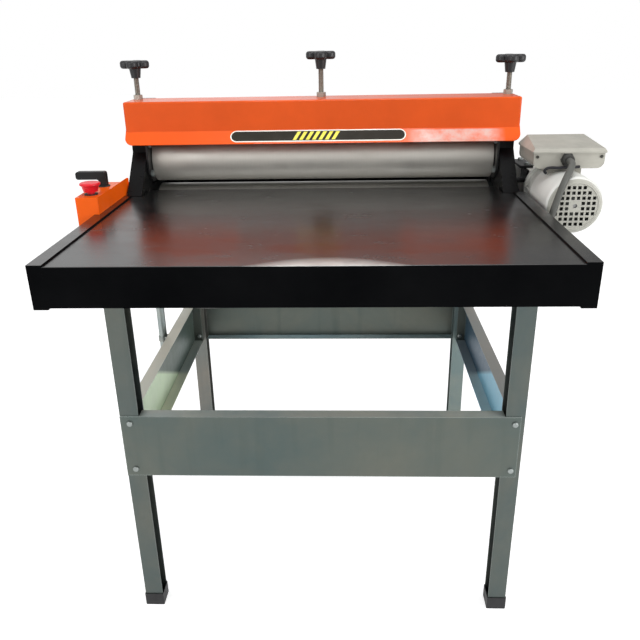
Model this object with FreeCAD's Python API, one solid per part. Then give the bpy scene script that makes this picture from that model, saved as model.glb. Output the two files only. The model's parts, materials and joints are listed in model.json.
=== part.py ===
"""Floor-standing motorised roller press for cutting and creasing board.

Frame: +Z up, the operator stands on the -Y side, X runs along the rollers.
The origin lies on the floor, under the centre of the machine's bounding box.
Inside this script x = 0 is the middle of the rollers and y = 0 is the plane
through both roller axes; every piece is shifted to the origin at export.
All lengths are millimetres.
"""
import FreeCAD, Part
import math
import os

Vector = FreeCAD.Vector
X_AXIS = Vector(1, 0, 0)
Y_AXIS = Vector(0, 1, 0)
Z_AXIS = Vector(0, 0, 1)

# ---------------------------------------------------------------- stand
table_height = 936.0            # floor to the top of the feed table
stand_width = 850.0             # over the legs, along X
stand_depth = 750.0             # over the legs, along Y
leg_side = 40.0                 # folded channel leg, both ways
leg_wall = 2.5
side_beam_inset = 2.0           # lower side beams behind the legs' outer faces
foot_wall = 2.0
foot_height = 32.0
foot_floor = 3.0
beam_wall = 2.0
lower_beam_height = 148.0
lower_beam_top = 519.0
beam_flange = 28.0
front_beam_inset = 8.0          # the front beam stops short on its right end
upper_beam_height = 80.0
upper_beam_wall = 3.0
side_beam_flange = 40.0
beam_end_gap = 1.0              # between a flange's end and the leg beside it
stand_bolt_d = 8.0
stand_bolt_head_d = 13.0
stand_bolt_head_h = 4.4
stand_bolt_inset = 17.0         # from the edges of a beam to its bolts
stand_bolt_end = 2.0            # shank past its nut
stand_bolt_round = 3.3
bolt_nut_af = 13.0
bolt_nut_h = 6.5

# ---------------------------------------------------------------- tables
table_overhang = 12.5           # side rails past the legs, each side
table_reach = 635.0             # from the roller plane to the outer skirt
table_side_gap = 3.0            # table plate to a side frame
table_rear_gap = 75.0           # from the roller plane to the table's inner edge
table_plate = 2.5
skirt_height = 68.0
skirt_return = 15.0
inner_fold = 22.0
rail_width = 24.0
rail_wall = 2.0
rail_above = 3.0                # rail top above the table
rail_below = 71.0               # rail bottom below the table
rail_gap = 6.0                  # side frame's foot to the rail's inner end
rib_flange = 25.0
rib_wall = 2.0
rib_x = 200.0
bracket_arm = 34.0
bracket_sheet = 4.0

# ---------------------------------------------------------------- press
frame_thickness = 32.0          # side frames, along X
frame_foot_half = 142.0         # half depth at table level
frame_top_half = 62.0           # half depth at the top
frame_shoulder = 82.0           # height above the table where the slope ends
hood_sheet = 2.0
hood_face = 63.0                # front plate, from the top to its fold
hood_band = 26.0                # lower band, in height
hood_front = 70.0               # front plate, ahead of the roller plane
hood_flare = 20.0               # how far the lower band leans out
hood_rear = 26.0                # rear edge of the top, behind the roller plane
hood_overhang = 8.0             # past the side frames
hood_corner = 17.0
hood_fold = 4.0                 # rounding of its folds
window_half = 45.0              # bearing block window
window_floor = 1.0              # left under the block when it is lowest
window_room = 4.0               # left over the block when it is highest
lift_down = 6.0                 # travel of the pressure carriage
lift_up = 15.0
lift_room = 0.7                 # yoke to crossbeam when it is highest
running_fit = 0.05
crossbeam_depth = 40.0
crossbeam_height = 28.0
journal_slot_play = 2.0
beam_bolt_y = 14.0
beam_bolt_d = 8.0
beam_bolt_head_d = 13.0
beam_bolt_head_h = 8.0
beam_bolt_grip = 20.0
unit_bolt_d = 10.0
unit_bolt_af = 17.0
unit_head_h = 6.4
unit_nut_h = 8.0
unit_bolt_reach = 20.0
flange_unit_corner = 14.0
insert_recess = 2.0

# ---------------------------------------------------------------- rollers
roller_d = 100.0
roller_end_gap = 6.0            # upper roller face to a side frame
roller_beam_gap = 1.0           # lower roller face to an upper side beam's flange
nip_gap = 8.0                   # between the rollers at rest
journal_d = 30.0
drive_shaft_d = 25.0
insert_d = 62.0                 # bearing insert, outer
insert_width = 20.0
insert_gap = 0.05
block_bottom = 45.0             # bearing block below its bore
block_top = 55.0                # and above it
carrier_flange = 4.0
carrier_gap = 1.0               # side frame to carrier flange
carrier_half = 74.0
carrier_proud = 3.0             # bearing block past the side frame's outer face
carrier_corner = 16.0           # bevel of the flange's top corners
carrier_seat = 5.0              # side frame's inner face to the insert's seat
flange_unit_width = 108.0       # square flange bearing
flange_unit_t = 12.0
flange_unit_boss = 72.0
flange_unit_depth = 30.0
flange_unit_pitch = 83.0
roller_chamfer = 1.0
carrier_knee = 22.0             # flange's full width ends this far below the bore
carrier_foot = 48.0
carrier_bolt_y = 58.0
carrier_bolt_low = 24.0
carrier_bolt_high = 40.0
carrier_bolt_d = 8.0
carrier_bolt_af = 13.0
carrier_head_h = 5.3
carrier_bolt_length = 4.0
slot_neck = 6.0

# ---------------------------------------------------------------- screws
screw_d = 12.0
screw_foot_d = 18.0
screw_offset = 7.5              # outward from the middle of a side frame
screw_foot_h = 8.0
slot_play = 0.5
nut_af = 18.0
nut_h = 10.0
knob_d = 65.0
knob_h = 17.0
knob_hub_top_d = 26.0
knob_hub_low_d = 20.0
knob_hub_h = 20.0
side_knob_rise = 83.0           # knob tops above the hood
centre_knob_rise = 96.0
hood_hole_d = 14.0
knob_lobe = 13.0
knob_edge = 6.0
support_d = 26.0
support_width = 30.0
support_pin_d = 10.0
support_gap = 0.3
yoke_cheek = 8.0
yoke_depth = 30.0
yoke_drop = 6.0
yoke_room = 2.0
yoke_roof = 9.0
yoke_foot_h = 4.0

# ---------------------------------------------------------------- drive
gear_centre = 50.0              # worm above the output shaft
gearbox_gap = 1.0               # flange bearing to the gearbox cover
gearbox_width = 88.0
gearbox_half = 60.0
gearbox_below = 60.0
gearbox_above = 84.0
gearbox_cover_d = 104.0
gearbox_cover_t = 6.0
hub_d = 50.0
gear_mesh_gap = 0.3
wheel_width = 24.0
worm_r = 10.0
gearbox_round = 12.0
gearbox_flange_t = 9.0
gearbox_neck_d = 78.0
gearbox_cap_d = 56.0
gear_room = 4.0
worm_half = 46.0
worm_end = 12.0
worm_shaft_d = 17.0
worm_setback = 8.0
worm_thread = 60.0
worm_socket = 28.0
cover_play = 0.6
cover_pcd = 84.0
cover_bolt_d = 8.0
cover_bolt_h = 3.5
hub_end = 4.0
torque_low = 8.0
torque_high = 42.0
torque_wall = 6.0
torque_front = -72.0
torque_rear = -48.0
torque_tail = -20.0
motor_d = 112.0
motor_shell = 5.0
motor_flange_d = 105.0
motor_start = 82.0              # flange face, ahead of the roller plane
bell_length = 60.0              # cast drive end, flange to shell
bell_rim = 8.0
bell_rib = 6.0
bell_neck_d = 98.0
shield_t = 10.0
motor_length = 72.0
stator_bore = 72.0
motor_air_gap = 0.3
motor_shaft_d = 14.0
fan_cover_d = 114.0
fan_cover_length = 56.0
fan_cover_wall = 1.5
fan_cover_round = 10.0
grille_pitch = 10.4
grille_hole = 7.0
grille_reach = 44.0
grille_blank = 12.0
grille_centre_d = 9.0
fan_d = 96.0
fan_hub_d = 30.0
fan_width = 26.0
fan_blades = 7
core_inset = 14.0
fan_end_gap = 2.5
fan_back = 3.0

terminal_width = 142.0
terminal_inset = 14.0           # from the motor's rear shield
terminal_length = 124.0
terminal_rise = 61.0            # motor axis to the box's floor
terminal_height = 31.0
terminal_lid_height = 22.0      # at its rear
lid_front_height = 9.0          # its top slopes down to the front
terminal_wall = 3.0
terminal_round = 14.0
lid_overhang = 3.0
lid_bevel = 14.0
saddle_half = 34.0
saddle_inset = 22.0
lid_lip = 3.0
lid_corner = 2.5
terminal_screw_d = 6.0
terminal_screw_h = 2.0
terminal_screw_inset = 7.0
gland_af = 25.0
gland_nut_d = 23.5
gland_length = 16.0
gland_edge = 3.0
gland_offset = 4.0              # left of the motor's middle
gland_rise = 18.0               # above the terminal box's floor
cable_d = 13.0

# ---------------------------------------------------------------- control box
box_gap = 3.0                   # left side frame to the box's inner wall
box_width = 44.0
box_front = 316.0
box_rear = 161.0
box_top = 36.0                  # above the table
box_bottom = 50.0               # below the table
box_sheet = 1.5
box_tail = 44.0                 # inner wall runs on behind the box
box_apron = 30.0                # how far it hangs below the rail's top there
estop_y = 285.0
estop_d = 40.5
estop_neck_d = 34.0             # under the head
estop_waist_d = 28.0            # at the foot of the neck
estop_base_d = 27.0
estop_base_h = 1.8
estop_cap_low = 6.5             # neck's foot above the panel
estop_cap_top = 25.0
estop_stem_d = 14.0
estop_body = 34.0
switch_y = 205.0
switch_stem = 15.0
switch_arm_low = 15.0
switch_arm_top = 31.0
switch_arm_length = 55.0
switch_plate_d = 25.0
switch_plate_h = 2.0
switch_body_side = 36.0
switch_shaft_d = 8.0
panel_play = 1.0
estop_block_h = 28.0
estop_stem_length = 28.0
switch_body_h = 28.0
switch_shaft_in = 22.0
handle_edge = 5.0
estop_dome = 1.0                # rise of the button's top
estop_edge = 3.2                # rounding of its rim
estop_rim = 2.0                 # depth of its rim below the rounding
estop_groove = 1.0              # rim past the neck below it
estop_taper = 7.5               # top to the end of the neck
conduit_entry = 190.0

conduit_d = 21.0
conduit_wall = 1.5
conduit_gap = 7.5               # left upper beam to the conduit
conduit_y = 72.0
conduit_bottom = 400.0
clip_width = 12.0
clip_wall = 2.0
clip_play = 0.4
clip_reach = 6.0                # a clip hangs where the cable comes this near the beam
clip_drop = 2.0
clamp_height = 14.0
clamp_inset = 26.0

# ------------------------------------------------------- derived places
T = table_height
half_stand_x = stand_width / 2
half_stand_y = stand_depth / 2
leg_bolt_x = half_stand_x - leg_side / 2
lower_beam_bottom = lower_beam_top - lower_beam_height
lower_side_outer = half_stand_x - side_beam_inset
frame_base = T - rail_below                     # top of the upper beams
upper_beam_bottom = frame_base - upper_beam_height
table_half = half_stand_x + table_overhang
rail_inner = table_half - rail_width
rail_end = frame_foot_half + rail_gap           # from the roller plane
rail_top = T + rail_above
frame_outer = half_stand_x                      # side frames stand on the upper beams
frame_inner = frame_outer - frame_thickness
screw_x = frame_inner + frame_thickness / 2 + screw_offset
plate_inner_half = frame_inner - table_side_gap

roller_r = roller_d / 2
upper_half = frame_inner - roller_end_gap
lower_half = half_stand_x - side_beam_flange - roller_beam_gap
lower_z = T - roller_r
upper_z = T + nip_gap + roller_r
block_low = upper_z - block_bottom
block_high = upper_z + block_top
window_low = block_low - lift_down - window_floor
window_high = block_high + lift_up + window_room
carrier_face = frame_inner - carrier_gap - carrier_flange
carrier_insert_x = frame_inner + carrier_seat
support_z = upper_z + roller_r + support_gap + support_d / 2
support_half = support_width / 2 + support_gap + yoke_cheek
yoke_top = support_z + support_d / 2 + yoke_room + yoke_roof
crossbeam_low = yoke_top + lift_up + lift_room
frame_top = crossbeam_low + crossbeam_height
hood_top = frame_top + hood_sheet
hood_bend = hood_top - hood_face
hood_bottom = hood_bend - hood_band
hood_half = frame_outer + hood_overhang
beam_bolt_z = frame_top - crossbeam_height / 2

unit_outer = frame_outer + flange_unit_depth
motor_z = lower_z + gear_centre
wheel_r = gear_centre - worm_r - gear_mesh_gap
gearbox_left = unit_outer + gearbox_gap + gearbox_cover_t
gearbox_right = gearbox_left + gearbox_width
gearbox_x = gearbox_left + gearbox_width / 2    # middle plane of the gearbox and the motor
shell_front = -(motor_start + bell_length)
motor_rear = shell_front - motor_length
fan_cover_end = fan_cover_length - motor_rear
fan_reach = fan_cover_length - fan_cover_wall - fan_end_gap
terminal_front = -motor_rear - terminal_inset
terminal_rear = terminal_front - terminal_length
terminal_bottom = motor_z + terminal_rise
terminal_split = terminal_bottom + terminal_height
terminal_top = terminal_split + terminal_lid_height

box_inner = frame_outer + box_gap
control_x = -(box_inner + box_width / 2)
box_left = -(box_inner + box_width)
box_drop_x = (box_left - table_half) / 2        # middle of the part beside the rail
panel_z = T + box_top
box_low = T - box_bottom
handle_tip = control_x - switch_arm_length
conduit_x = half_stand_x + conduit_gap + conduit_d / 2
lid_reach = gearbox_x + terminal_width / 2 + lid_overhang
shift_x = -(lid_reach + handle_tip) / 2

PARTS = {}


# ------------------------------------------------------- building blocks
def box(x0, x1, y0, y1, z0, z1):
    """A block between two corners given as limits along each axis."""
    low = Vector(min(x0, x1), min(y0, y1), min(z0, z1))
    return Part.makeBox(abs(x1 - x0), abs(y1 - y0), abs(z1 - z0), low)


def rod(start, axis, radius, length):
    """A cylinder from a start point along an axis."""
    return Part.makeCylinder(radius, length, Vector(*start), axis)


def tube(start, axis, outer, inner, length):
    """A cylinder with a round bore."""
    return rod(start, axis, outer, length).cut(rod(start, axis, inner, length))


def prism(points, depth):
    """A closed outline in space, pushed along a vector."""
    corners = [Vector(*point) for point in points]
    face = Part.Face(Part.makePolygon(corners + corners[:1]))
    return face.extrude(Vector(*depth))


def hexagon(start, axis, across_flats, length, turn=0.0):
    """A hexagonal bar whose flats are across_flats apart."""
    radius = across_flats / math.sqrt(3)
    flat = [Vector(radius * math.cos(math.radians(60 * i + turn)),
                   radius * math.sin(math.radians(60 * i + turn)), 0) for i in range(7)]
    bar = Part.Face(Part.makePolygon(flat)).extrude(Vector(0, 0, length))
    bar.Placement = FreeCAD.Placement(Vector(*start), FreeCAD.Rotation(Z_AXIS, axis))
    return bar


def mirror_x(shape):
    """The same shape on the other side of the machine's middle."""
    return shape.mirror(Vector(0, 0, 0), X_AXIS)


def mirror_y(shape):
    """The same shape on the other side of the roller plane."""
    return shape.mirror(Vector(0, 0, 0), Y_AXIS)


def edges_along(shape, axis, test):
    """Straight edges parallel to an axis whose middle passes a test."""
    found = []
    for edge in shape.Edges:
        if edge.Curve.TypeId != "Part::GeomLine":
            continue
        direction = edge.tangentAt(edge.FirstParameter)
        if abs(direction.dot(axis)) > 0.999 and test(edge.CenterOfMass):
            found.append(edge)
    return found


def route(points, radius_share=0.45):
    """Straight runs joined by tangent arcs, as large as each pair of runs allows.

    Gives the wire, the arcs' radii, and each arc's middle with its heading there.
    """
    corners = [Vector(*point) for point in points]
    edges = []
    radii = []
    middles = []
    here = corners[0]
    for before, corner, after in zip(corners, corners[1:], corners[2:]):
        run_in = (corner - before).normalize()
        run_out = (after - corner).normalize()
        half_turn = run_in.getAngle(run_out) / 2
        cut_back = radius_share * min((corner - before).Length, (after - corner).Length)
        radii.append(cut_back / math.tan(half_turn))
        start = corner - run_in * cut_back
        end = corner + run_out * cut_back
        inward = (run_out - run_in).normalize()
        middle = corner + inward * (radii[-1] * (1 / math.cos(half_turn) - 1))
        middles.append((middle, (run_in + run_out).normalize()))
        edges.append(Part.LineSegment(here, start).toShape())
        edges.append(Part.Arc(start, middle, end).toShape())
        here = end
    edges.append(Part.LineSegment(here, corners[-1]).toShape())
    return Part.Wire(edges), radii, middles


def swept(points, diameter, bore=0.0):
    """A round bar or pipe along a route, with its bend radii."""
    path, radii, middles = route(points)
    start = Vector(*points[0])
    heading = (Vector(*points[1]) - start).normalize()

    def solid_of(size):
        ring = Part.Wire(Part.makeCircle(size / 2, start, heading))
        return path.makePipeShell([ring], True, False)

    solid = solid_of(diameter)
    if bore:
        solid = solid.cut(solid_of(bore))
    return solid, radii


def bolt_x(x, y, z, sign, length, head_d, head_h, shank_d):
    """A bolt along X whose head sits against the face at x, outward along sign."""
    outward = X_AXIS * sign
    head = rod((x, y, z), outward, head_d / 2, head_h)
    shank = rod((x, y, z), outward * -1, shank_d / 2, length)
    return head.fuse(shank).removeSplitter()


def domed_bolt(x, y, z, axis, length):
    """A stand bolt: domed head, shank through two sheets, hexagon nut behind."""
    start = Vector(x, y, z)
    dome = rod(start, axis, stand_bolt_head_d / 2, stand_bolt_head_h)
    rim = [edge for edge in dome.Edges
           if (edge.CenterOfMass - start).dot(axis) > stand_bolt_head_h - 0.01
           and edge.Curve.TypeId == "Part::GeomCircle"]
    dome = dome.makeFillet(stand_bolt_round, rim)
    shank = rod(start, axis * -1, stand_bolt_d / 2, length + bolt_nut_h + stand_bolt_end)
    nut = hexagon(start - axis * length, axis * -1, bolt_nut_af, bolt_nut_h)
    return dome.fuse([shank, nut]).removeSplitter()


# ---------------------------------------------------------------- stand
def leg(side_x, side_y):
    """Channel leg, open towards the middle of the machine, with its bolt holes."""
    outer = box(half_stand_x - leg_side, half_stand_x, half_stand_y - leg_side,
                half_stand_y, foot_floor, frame_base)
    hollow = box(half_stand_x - leg_side - 1, half_stand_x - leg_wall,
                 half_stand_y - leg_side + leg_wall, half_stand_y - leg_wall, 0, frame_base + 1)
    profile = outer.cut(hollow)
    holes = [rod((leg_bolt_x, half_stand_y - leg_side - 1, z), Y_AXIS,
                 stand_bolt_d / 2, leg_side + 2) for z in bolt_heights()]
    profile = profile.cut(holes)
    if side_x < 0:
        profile = mirror_x(profile)
    if side_y < 0:
        profile = mirror_y(profile)
    return profile


def bolt_heights():
    """Heights of the bolts through a leg, two per beam."""
    lower = [lower_beam_bottom + stand_bolt_inset, lower_beam_top - stand_bolt_inset]
    upper = [upper_beam_bottom + stand_bolt_inset, frame_base - stand_bolt_inset]
    return lower + upper


def foot_cap():
    """Square plastic cap that a leg stands in."""
    outer = box(half_stand_x - leg_side - foot_wall, half_stand_x + foot_wall,
                half_stand_y - leg_side - foot_wall, half_stand_y + foot_wall, 0, foot_height)
    socket = box(half_stand_x - leg_side, half_stand_x, half_stand_y - leg_side,
                 half_stand_y, foot_floor, foot_height + 1)
    corners = edges_along(outer, Z_AXIS, lambda middle: True)
    return outer.makeFillet(foot_wall, corners).cut(socket)


def cross_beam(wall, bottom, top, inset):
    """Beam across the rear faces of two legs: web outside, flanges turned in."""
    face = half_stand_y
    clear = half_stand_x - leg_side - beam_end_gap
    web = box(-half_stand_x + inset, half_stand_x, face, face + wall, bottom, top)
    low = box(-clear, clear, face + wall - beam_flange, face + wall, bottom, bottom + wall)
    high = low.translated(Vector(0, 0, top - bottom - wall))
    beam = web.fuse([low, high]).removeSplitter()
    holes = [rod((side * leg_bolt_x, face - 1, z), Y_AXIS, stand_bolt_d / 2, wall + 2)
             for side in (-1, 1) for z in (bottom + stand_bolt_inset, top - stand_bolt_inset)]
    return beam.cut(holes)


def side_beam(wall, bottom, top, outer, flange):
    """Beam between a front and a rear leg, with a bolted tab at each end."""
    reach = half_stand_y - leg_side
    web = box(outer - wall, outer, -reach, reach, bottom, top)
    low = box(outer - flange, outer, -reach, reach, bottom, bottom + wall)
    high = low.translated(Vector(0, 0, top - bottom - wall))
    tab = box(outer - flange, outer, reach - wall, reach, bottom, top)
    beam = web.fuse([low, high, tab, mirror_y(tab)]).removeSplitter()
    holes = [rod((leg_bolt_x, -reach - 1, z), Y_AXIS, stand_bolt_d / 2, 2 * reach + 2)
             for z in (bottom + stand_bolt_inset, top - stand_bolt_inset)]
    return beam.cut(holes)


def stand_bolts():
    """Domed bolts with nuts at every beam end."""
    bolts = []
    reach = half_stand_y - leg_side
    lower = bolt_heights()[:2]
    for z in bolt_heights():
        wall = beam_wall if z in lower else upper_beam_wall
        across = domed_bolt(leg_bolt_x, half_stand_y + wall, z, Y_AXIS, wall + leg_wall)
        along = domed_bolt(leg_bolt_x, reach - wall, z, Y_AXIS * -1, wall + leg_wall)
        for bolt in (across, along):
            bolts += [bolt, mirror_x(bolt), mirror_y(bolt), mirror_y(mirror_x(bolt))]
    return bolts



for name_x, side_x in (("left", -1), ("right", 1)):
    for name_y, side_y in (("front", -1), ("rear", 1)):
        PARTS["leg_%s_%s" % (name_y, name_x)] = [leg(side_x, side_y)]

cap = foot_cap()
PARTS["foot_caps"] = [cap, mirror_x(cap), mirror_y(cap), mirror_x(mirror_y(cap))]

rear_beam = cross_beam(beam_wall, lower_beam_bottom, lower_beam_top, front_beam_inset)
PARTS["beam_lower_rear"] = [rear_beam]
PARTS["beam_lower_front"] = [mirror_x(mirror_y(rear_beam))]
right_beam = side_beam(beam_wall, lower_beam_bottom, lower_beam_top, lower_side_outer, beam_flange)
PARTS["beam_lower_right"] = [right_beam]
left_beam = mirror_x(right_beam)

upper_cross = cross_beam(upper_beam_wall, upper_beam_bottom, frame_base, 0)
PARTS["upper_beams"] = [upper_cross, mirror_y(upper_cross)]
PARTS["stand_bolts"] = stand_bolts()


# ---------------------------------------------------------------- tables
def feed_table():
    """Folded table top on the operator's side: plate, skirt, return and inner fold."""
    under = T - table_plate
    wide = box(-rail_inner, rail_inner, -table_reach, -rail_end, under, T)
    narrow = box(-plate_inner_half, plate_inner_half, -rail_end, -table_rear_gap, under, T)
    skirt = box(-rail_inner, rail_inner, -table_reach, -table_reach + table_plate,
                T - skirt_height, T)
    back = box(-rail_inner, rail_inner, -table_reach, -table_reach + skirt_return,
               T - skirt_height, T - skirt_height + table_plate)
    fold = box(-plate_inner_half, plate_inner_half, -table_rear_gap - table_plate,
               -table_rear_gap, T - inner_fold, T)
    panel = wide.fuse([narrow, skirt, back, fold]).removeSplitter()
    rim = edges_along(panel, X_AXIS, lambda m: abs(m.z - T) < 0.01
                      and (abs(m.y + table_reach) < 0.01 or abs(m.y + table_rear_gap) < 0.01))
    return panel.makeFillet(table_plate * 0.6, rim)


def side_rail():
    """Folded rail along the right edge of the feed table, closed at both ends."""
    half = table_half
    outer = box(rail_inner, half, -table_reach, -rail_end, frame_base, rail_top)
    hollow = box(rail_inner + rail_wall, half - rail_wall, -table_reach + rail_wall,
                 -rail_end - rail_wall, frame_base - 1, rail_top - rail_wall)
    return outer.cut(hollow)


def table_rib(x):
    """Channel under the table, from the skirt's return to the inner fold."""
    start = -table_reach + skirt_return
    end = -table_rear_gap - table_plate
    top = T - table_plate
    web = box(x, x + rib_wall, start, end, frame_base, top)
    low = box(x, x + rib_flange, start, end, frame_base, frame_base + rib_wall)
    high = box(x, x + rib_flange, start, end, top - rib_wall, top)
    return web.fuse([low, high]).removeSplitter()


def table_bracket():
    """Angle that ties the table's inner corner to the side frame."""
    top = T - table_plate
    y0 = -frame_foot_half + 4
    y1 = -table_rear_gap - table_plate - 2
    shelf = box(frame_inner - bracket_arm, frame_inner, y0, y1, top - bracket_sheet, top)
    upright = box(frame_inner - bracket_sheet, frame_inner, y0, y1, top - bracket_arm, top)
    return shelf.fuse(upright).removeSplitter()



front_table = feed_table()
PARTS["front_table"] = [front_table]
PARTS["rear_table"] = [mirror_y(front_table)]
rail = side_rail()
PARTS["side_rails"] = [rail, mirror_x(rail), mirror_y(rail), mirror_x(mirror_y(rail))]
ribs = [table_rib(rib_x), mirror_x(table_rib(rib_x))]
brackets = [table_bracket(), mirror_x(table_bracket())]
supports = ribs + brackets
PARTS["table_supports"] = supports + [mirror_y(support) for support in supports]


# ---------------------------------------------------------------- press frame
def side_frame():
    """Right side frame: thick plate with a bearing window and sloping feet."""
    outline = [(frame_inner, -frame_foot_half, frame_base),
               (frame_inner, -frame_foot_half, T),
               (frame_inner, -frame_top_half, T + frame_shoulder),
               (frame_inner, -frame_top_half, frame_top),
               (frame_inner, frame_top_half, frame_top),
               (frame_inner, frame_top_half, T + frame_shoulder),
               (frame_inner, frame_foot_half, T),
               (frame_inner, frame_foot_half, frame_base)]
    plate = prism(outline, (frame_thickness, 0, 0))
    window = box(frame_inner - 1, frame_outer + 1, -window_half - running_fit,
                 window_half + running_fit, window_low, window_high)
    slot_r = journal_d / 2 + journal_slot_play
    slot = box(frame_inner - 1, frame_outer + 1, -slot_r, slot_r, frame_base - 1, lower_z)
    slot = slot.fuse(rod((frame_inner - 1, 0, lower_z), X_AXIS, slot_r, frame_thickness + 2))
    bore = rod((screw_x, 0, window_high - 1), Z_AXIS,
               screw_d / 2 + running_fit, frame_top)
    plate = plate.cut([window, slot, bore])
    holes = []
    for y in (-beam_bolt_y, beam_bolt_y):
        holes.append(rod((frame_inner - 1, y, beam_bolt_z), X_AXIS, beam_bolt_d / 2,
                         frame_thickness + 2))
        holes.append(rod((frame_outer - beam_bolt_head_h, y, beam_bolt_z), X_AXIS,
                         beam_bolt_head_d / 2, beam_bolt_head_h + 1))
        holes.append(rod((frame_outer - unit_bolt_reach, math.copysign(flange_unit_pitch / 2, y),
                          lower_z + flange_unit_pitch / 2), X_AXIS, unit_bolt_d / 2,
                         unit_bolt_reach + 1))
    return plate.cut(holes)


def crossbeam():
    """Square bar between the side frames, tapped for the centre screw."""
    bar = box(-frame_inner, frame_inner, -crossbeam_depth / 2, crossbeam_depth / 2,
              crossbeam_low, frame_top)
    bore = rod((0, 0, crossbeam_low - 1), Z_AXIS,
               screw_d / 2 + running_fit, crossbeam_height + 2)
    bar = bar.cut(bore)
    for side in (-1, 1):
        for y in (-beam_bolt_y, beam_bolt_y):
            start = (side * (frame_inner - beam_bolt_grip), y, beam_bolt_z)
            bar = bar.cut(rod(start, X_AXIS * side, beam_bolt_d / 2, beam_bolt_grip + 1))
    return bar


def flange_bearing(side):
    """Square flange bearing housing on the outer face of a side frame."""
    half = flange_unit_width / 2
    plate = box(frame_outer, frame_outer + flange_unit_t, -half, half,
                lower_z - half, lower_z + half)
    corners = edges_along(plate, X_AXIS, lambda middle: True)
    plate = plate.makeFillet(flange_unit_corner, corners)
    boss = rod((frame_outer, 0, lower_z), X_AXIS, flange_unit_boss / 2, flange_unit_depth)
    housing = plate.fuse(boss).removeSplitter()
    entry = rod((frame_outer - 1, 0, lower_z), X_AXIS,
                journal_d / 2 + journal_slot_play, flange_unit_depth)
    seat = rod((unit_outer - insert_width - insert_recess, 0, lower_z), X_AXIS,
               insert_d / 2, insert_width + insert_recess + 1)
    housing = housing.cut([entry, seat])
    for y in (-flange_unit_pitch / 2, flange_unit_pitch / 2):
        for z in (-flange_unit_pitch / 2, flange_unit_pitch / 2):
            housing = housing.cut(rod((frame_outer - 1, y, lower_z + z), X_AXIS,
                                      unit_bolt_d / 2, flange_unit_t + 2))
    return housing if side > 0 else mirror_x(housing)


def bearing_insert(inner_face, centre_z):
    """Ball bearing insert, drawn as one ring on its journal."""
    return tube((inner_face, 0, centre_z), X_AXIS, insert_d / 2 - insert_gap,
                journal_d / 2, insert_width)


def press_bolts():
    """Bolts of the crossbeam, of the flange bearings and of the drive bracket."""
    bolts = []
    pitch = flange_unit_pitch / 2
    outer = frame_outer + flange_unit_t
    for y in (-1, 1):
        bolts.append(bolt_x(frame_outer - beam_bolt_head_h, y * beam_bolt_y, beam_bolt_z, 1,
                            frame_thickness - beam_bolt_head_h + beam_bolt_grip,
                            beam_bolt_head_d, beam_bolt_head_h, beam_bolt_d))
        upper = hexagon((outer, y * pitch, lower_z + pitch), X_AXIS, unit_bolt_af, unit_head_h)
        shank = rod((frame_outer - unit_bolt_reach, y * pitch, lower_z + pitch), X_AXIS,
                    unit_bolt_d / 2, unit_bolt_reach + flange_unit_t)
        bolts.append(upper.fuse(shank).removeSplitter())
        lower = hexagon((outer, y * pitch, lower_z - pitch), X_AXIS, unit_bolt_af, unit_head_h)
        through = upper_beam_wall + unit_nut_h
        shank = rod((frame_outer - through, y * pitch, lower_z - pitch), X_AXIS,
                    unit_bolt_d / 2, through + flange_unit_t)
        nut = hexagon((frame_outer - through, y * pitch, lower_z - pitch), X_AXIS,
                      unit_bolt_af, unit_nut_h)
        bolts.append(lower.fuse([shank, nut]).removeSplitter())
    return bolts + [mirror_x(bolt) for bolt in bolts]


def hood():
    """Folded guard over the upper roller: top, front plate, leaning lower band, ends."""
    z_top = hood_top
    z_under = z_top - hood_sheet
    z_bend = hood_bend
    z_low = hood_bottom
    lean = math.atan2(hood_flare, hood_bend - hood_bottom)
    rise = hood_sheet * math.tan(lean / 2)
    back = -hood_front + hood_sheet
    section = [(-hood_half, hood_rear, z_top), (-hood_half, -hood_front, z_top),
               (-hood_half, -hood_front, z_bend),
               (-hood_half, -hood_front - hood_flare, z_low),
               (-hood_half, -hood_front - hood_flare + hood_sheet * math.cos(lean),
                z_low - hood_sheet * math.sin(lean)),
               (-hood_half, back, z_bend - rise), (-hood_half, back, z_under),
               (-hood_half, hood_rear, z_under)]
    sheet = prism(section, (2 * hood_half, 0, 0))
    low_edges = [edge for edge in sheet.Edges if edge.Length < hood_sheet * 1.5
                 and edge.CenterOfMass.z < z_low + 1 and abs(edge.CenterOfMass.x) > hood_half - 1]
    sheet = sheet.makeFillet(hood_corner, low_edges)
    end = box(hood_half - hood_sheet, hood_half, back, hood_rear, z_bend, z_under)
    cover = sheet.fuse([end, mirror_x(end)]).removeSplitter()
    folds = edges_along(cover, X_AXIS, lambda m: abs(m.z - z_top) < 0.01
                        and abs(m.y + hood_front) < 0.01)
    folds += edges_along(cover, Y_AXIS, lambda m: abs(m.z - z_top) < 0.01
                         and abs(abs(m.x) - hood_half) < 0.01)
    folds += edges_along(cover, Z_AXIS, lambda m: abs(m.y + hood_front) < 0.01
                         and abs(abs(m.x) - hood_half) < 0.01)
    cover = cover.makeFillet(hood_fold, folds)
    holes = [rod((x, 0, z_under - 1), Z_AXIS, hood_hole_d / 2, hood_sheet + 2)
             for x in (-screw_x, 0, screw_x)]
    return cover.cut(holes)


def lock_nut(x):
    """Nut that clamps the hood and locks a pressure screw."""
    nut = hexagon((x, 0, hood_top), Z_AXIS, nut_af, nut_h)
    bore = rod((x, 0, hood_top - 1), Z_AXIS, screw_d / 2 + running_fit, nut_h + 2)
    crown = Part.makeCone(nut_af / math.sqrt(3) + nut_h, nut_af / 2 * 0.98, nut_h + nut_h * 0.06,
                          Vector(x, 0, hood_top), Z_AXIS)
    return nut.common(crown).cut(bore)



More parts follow.
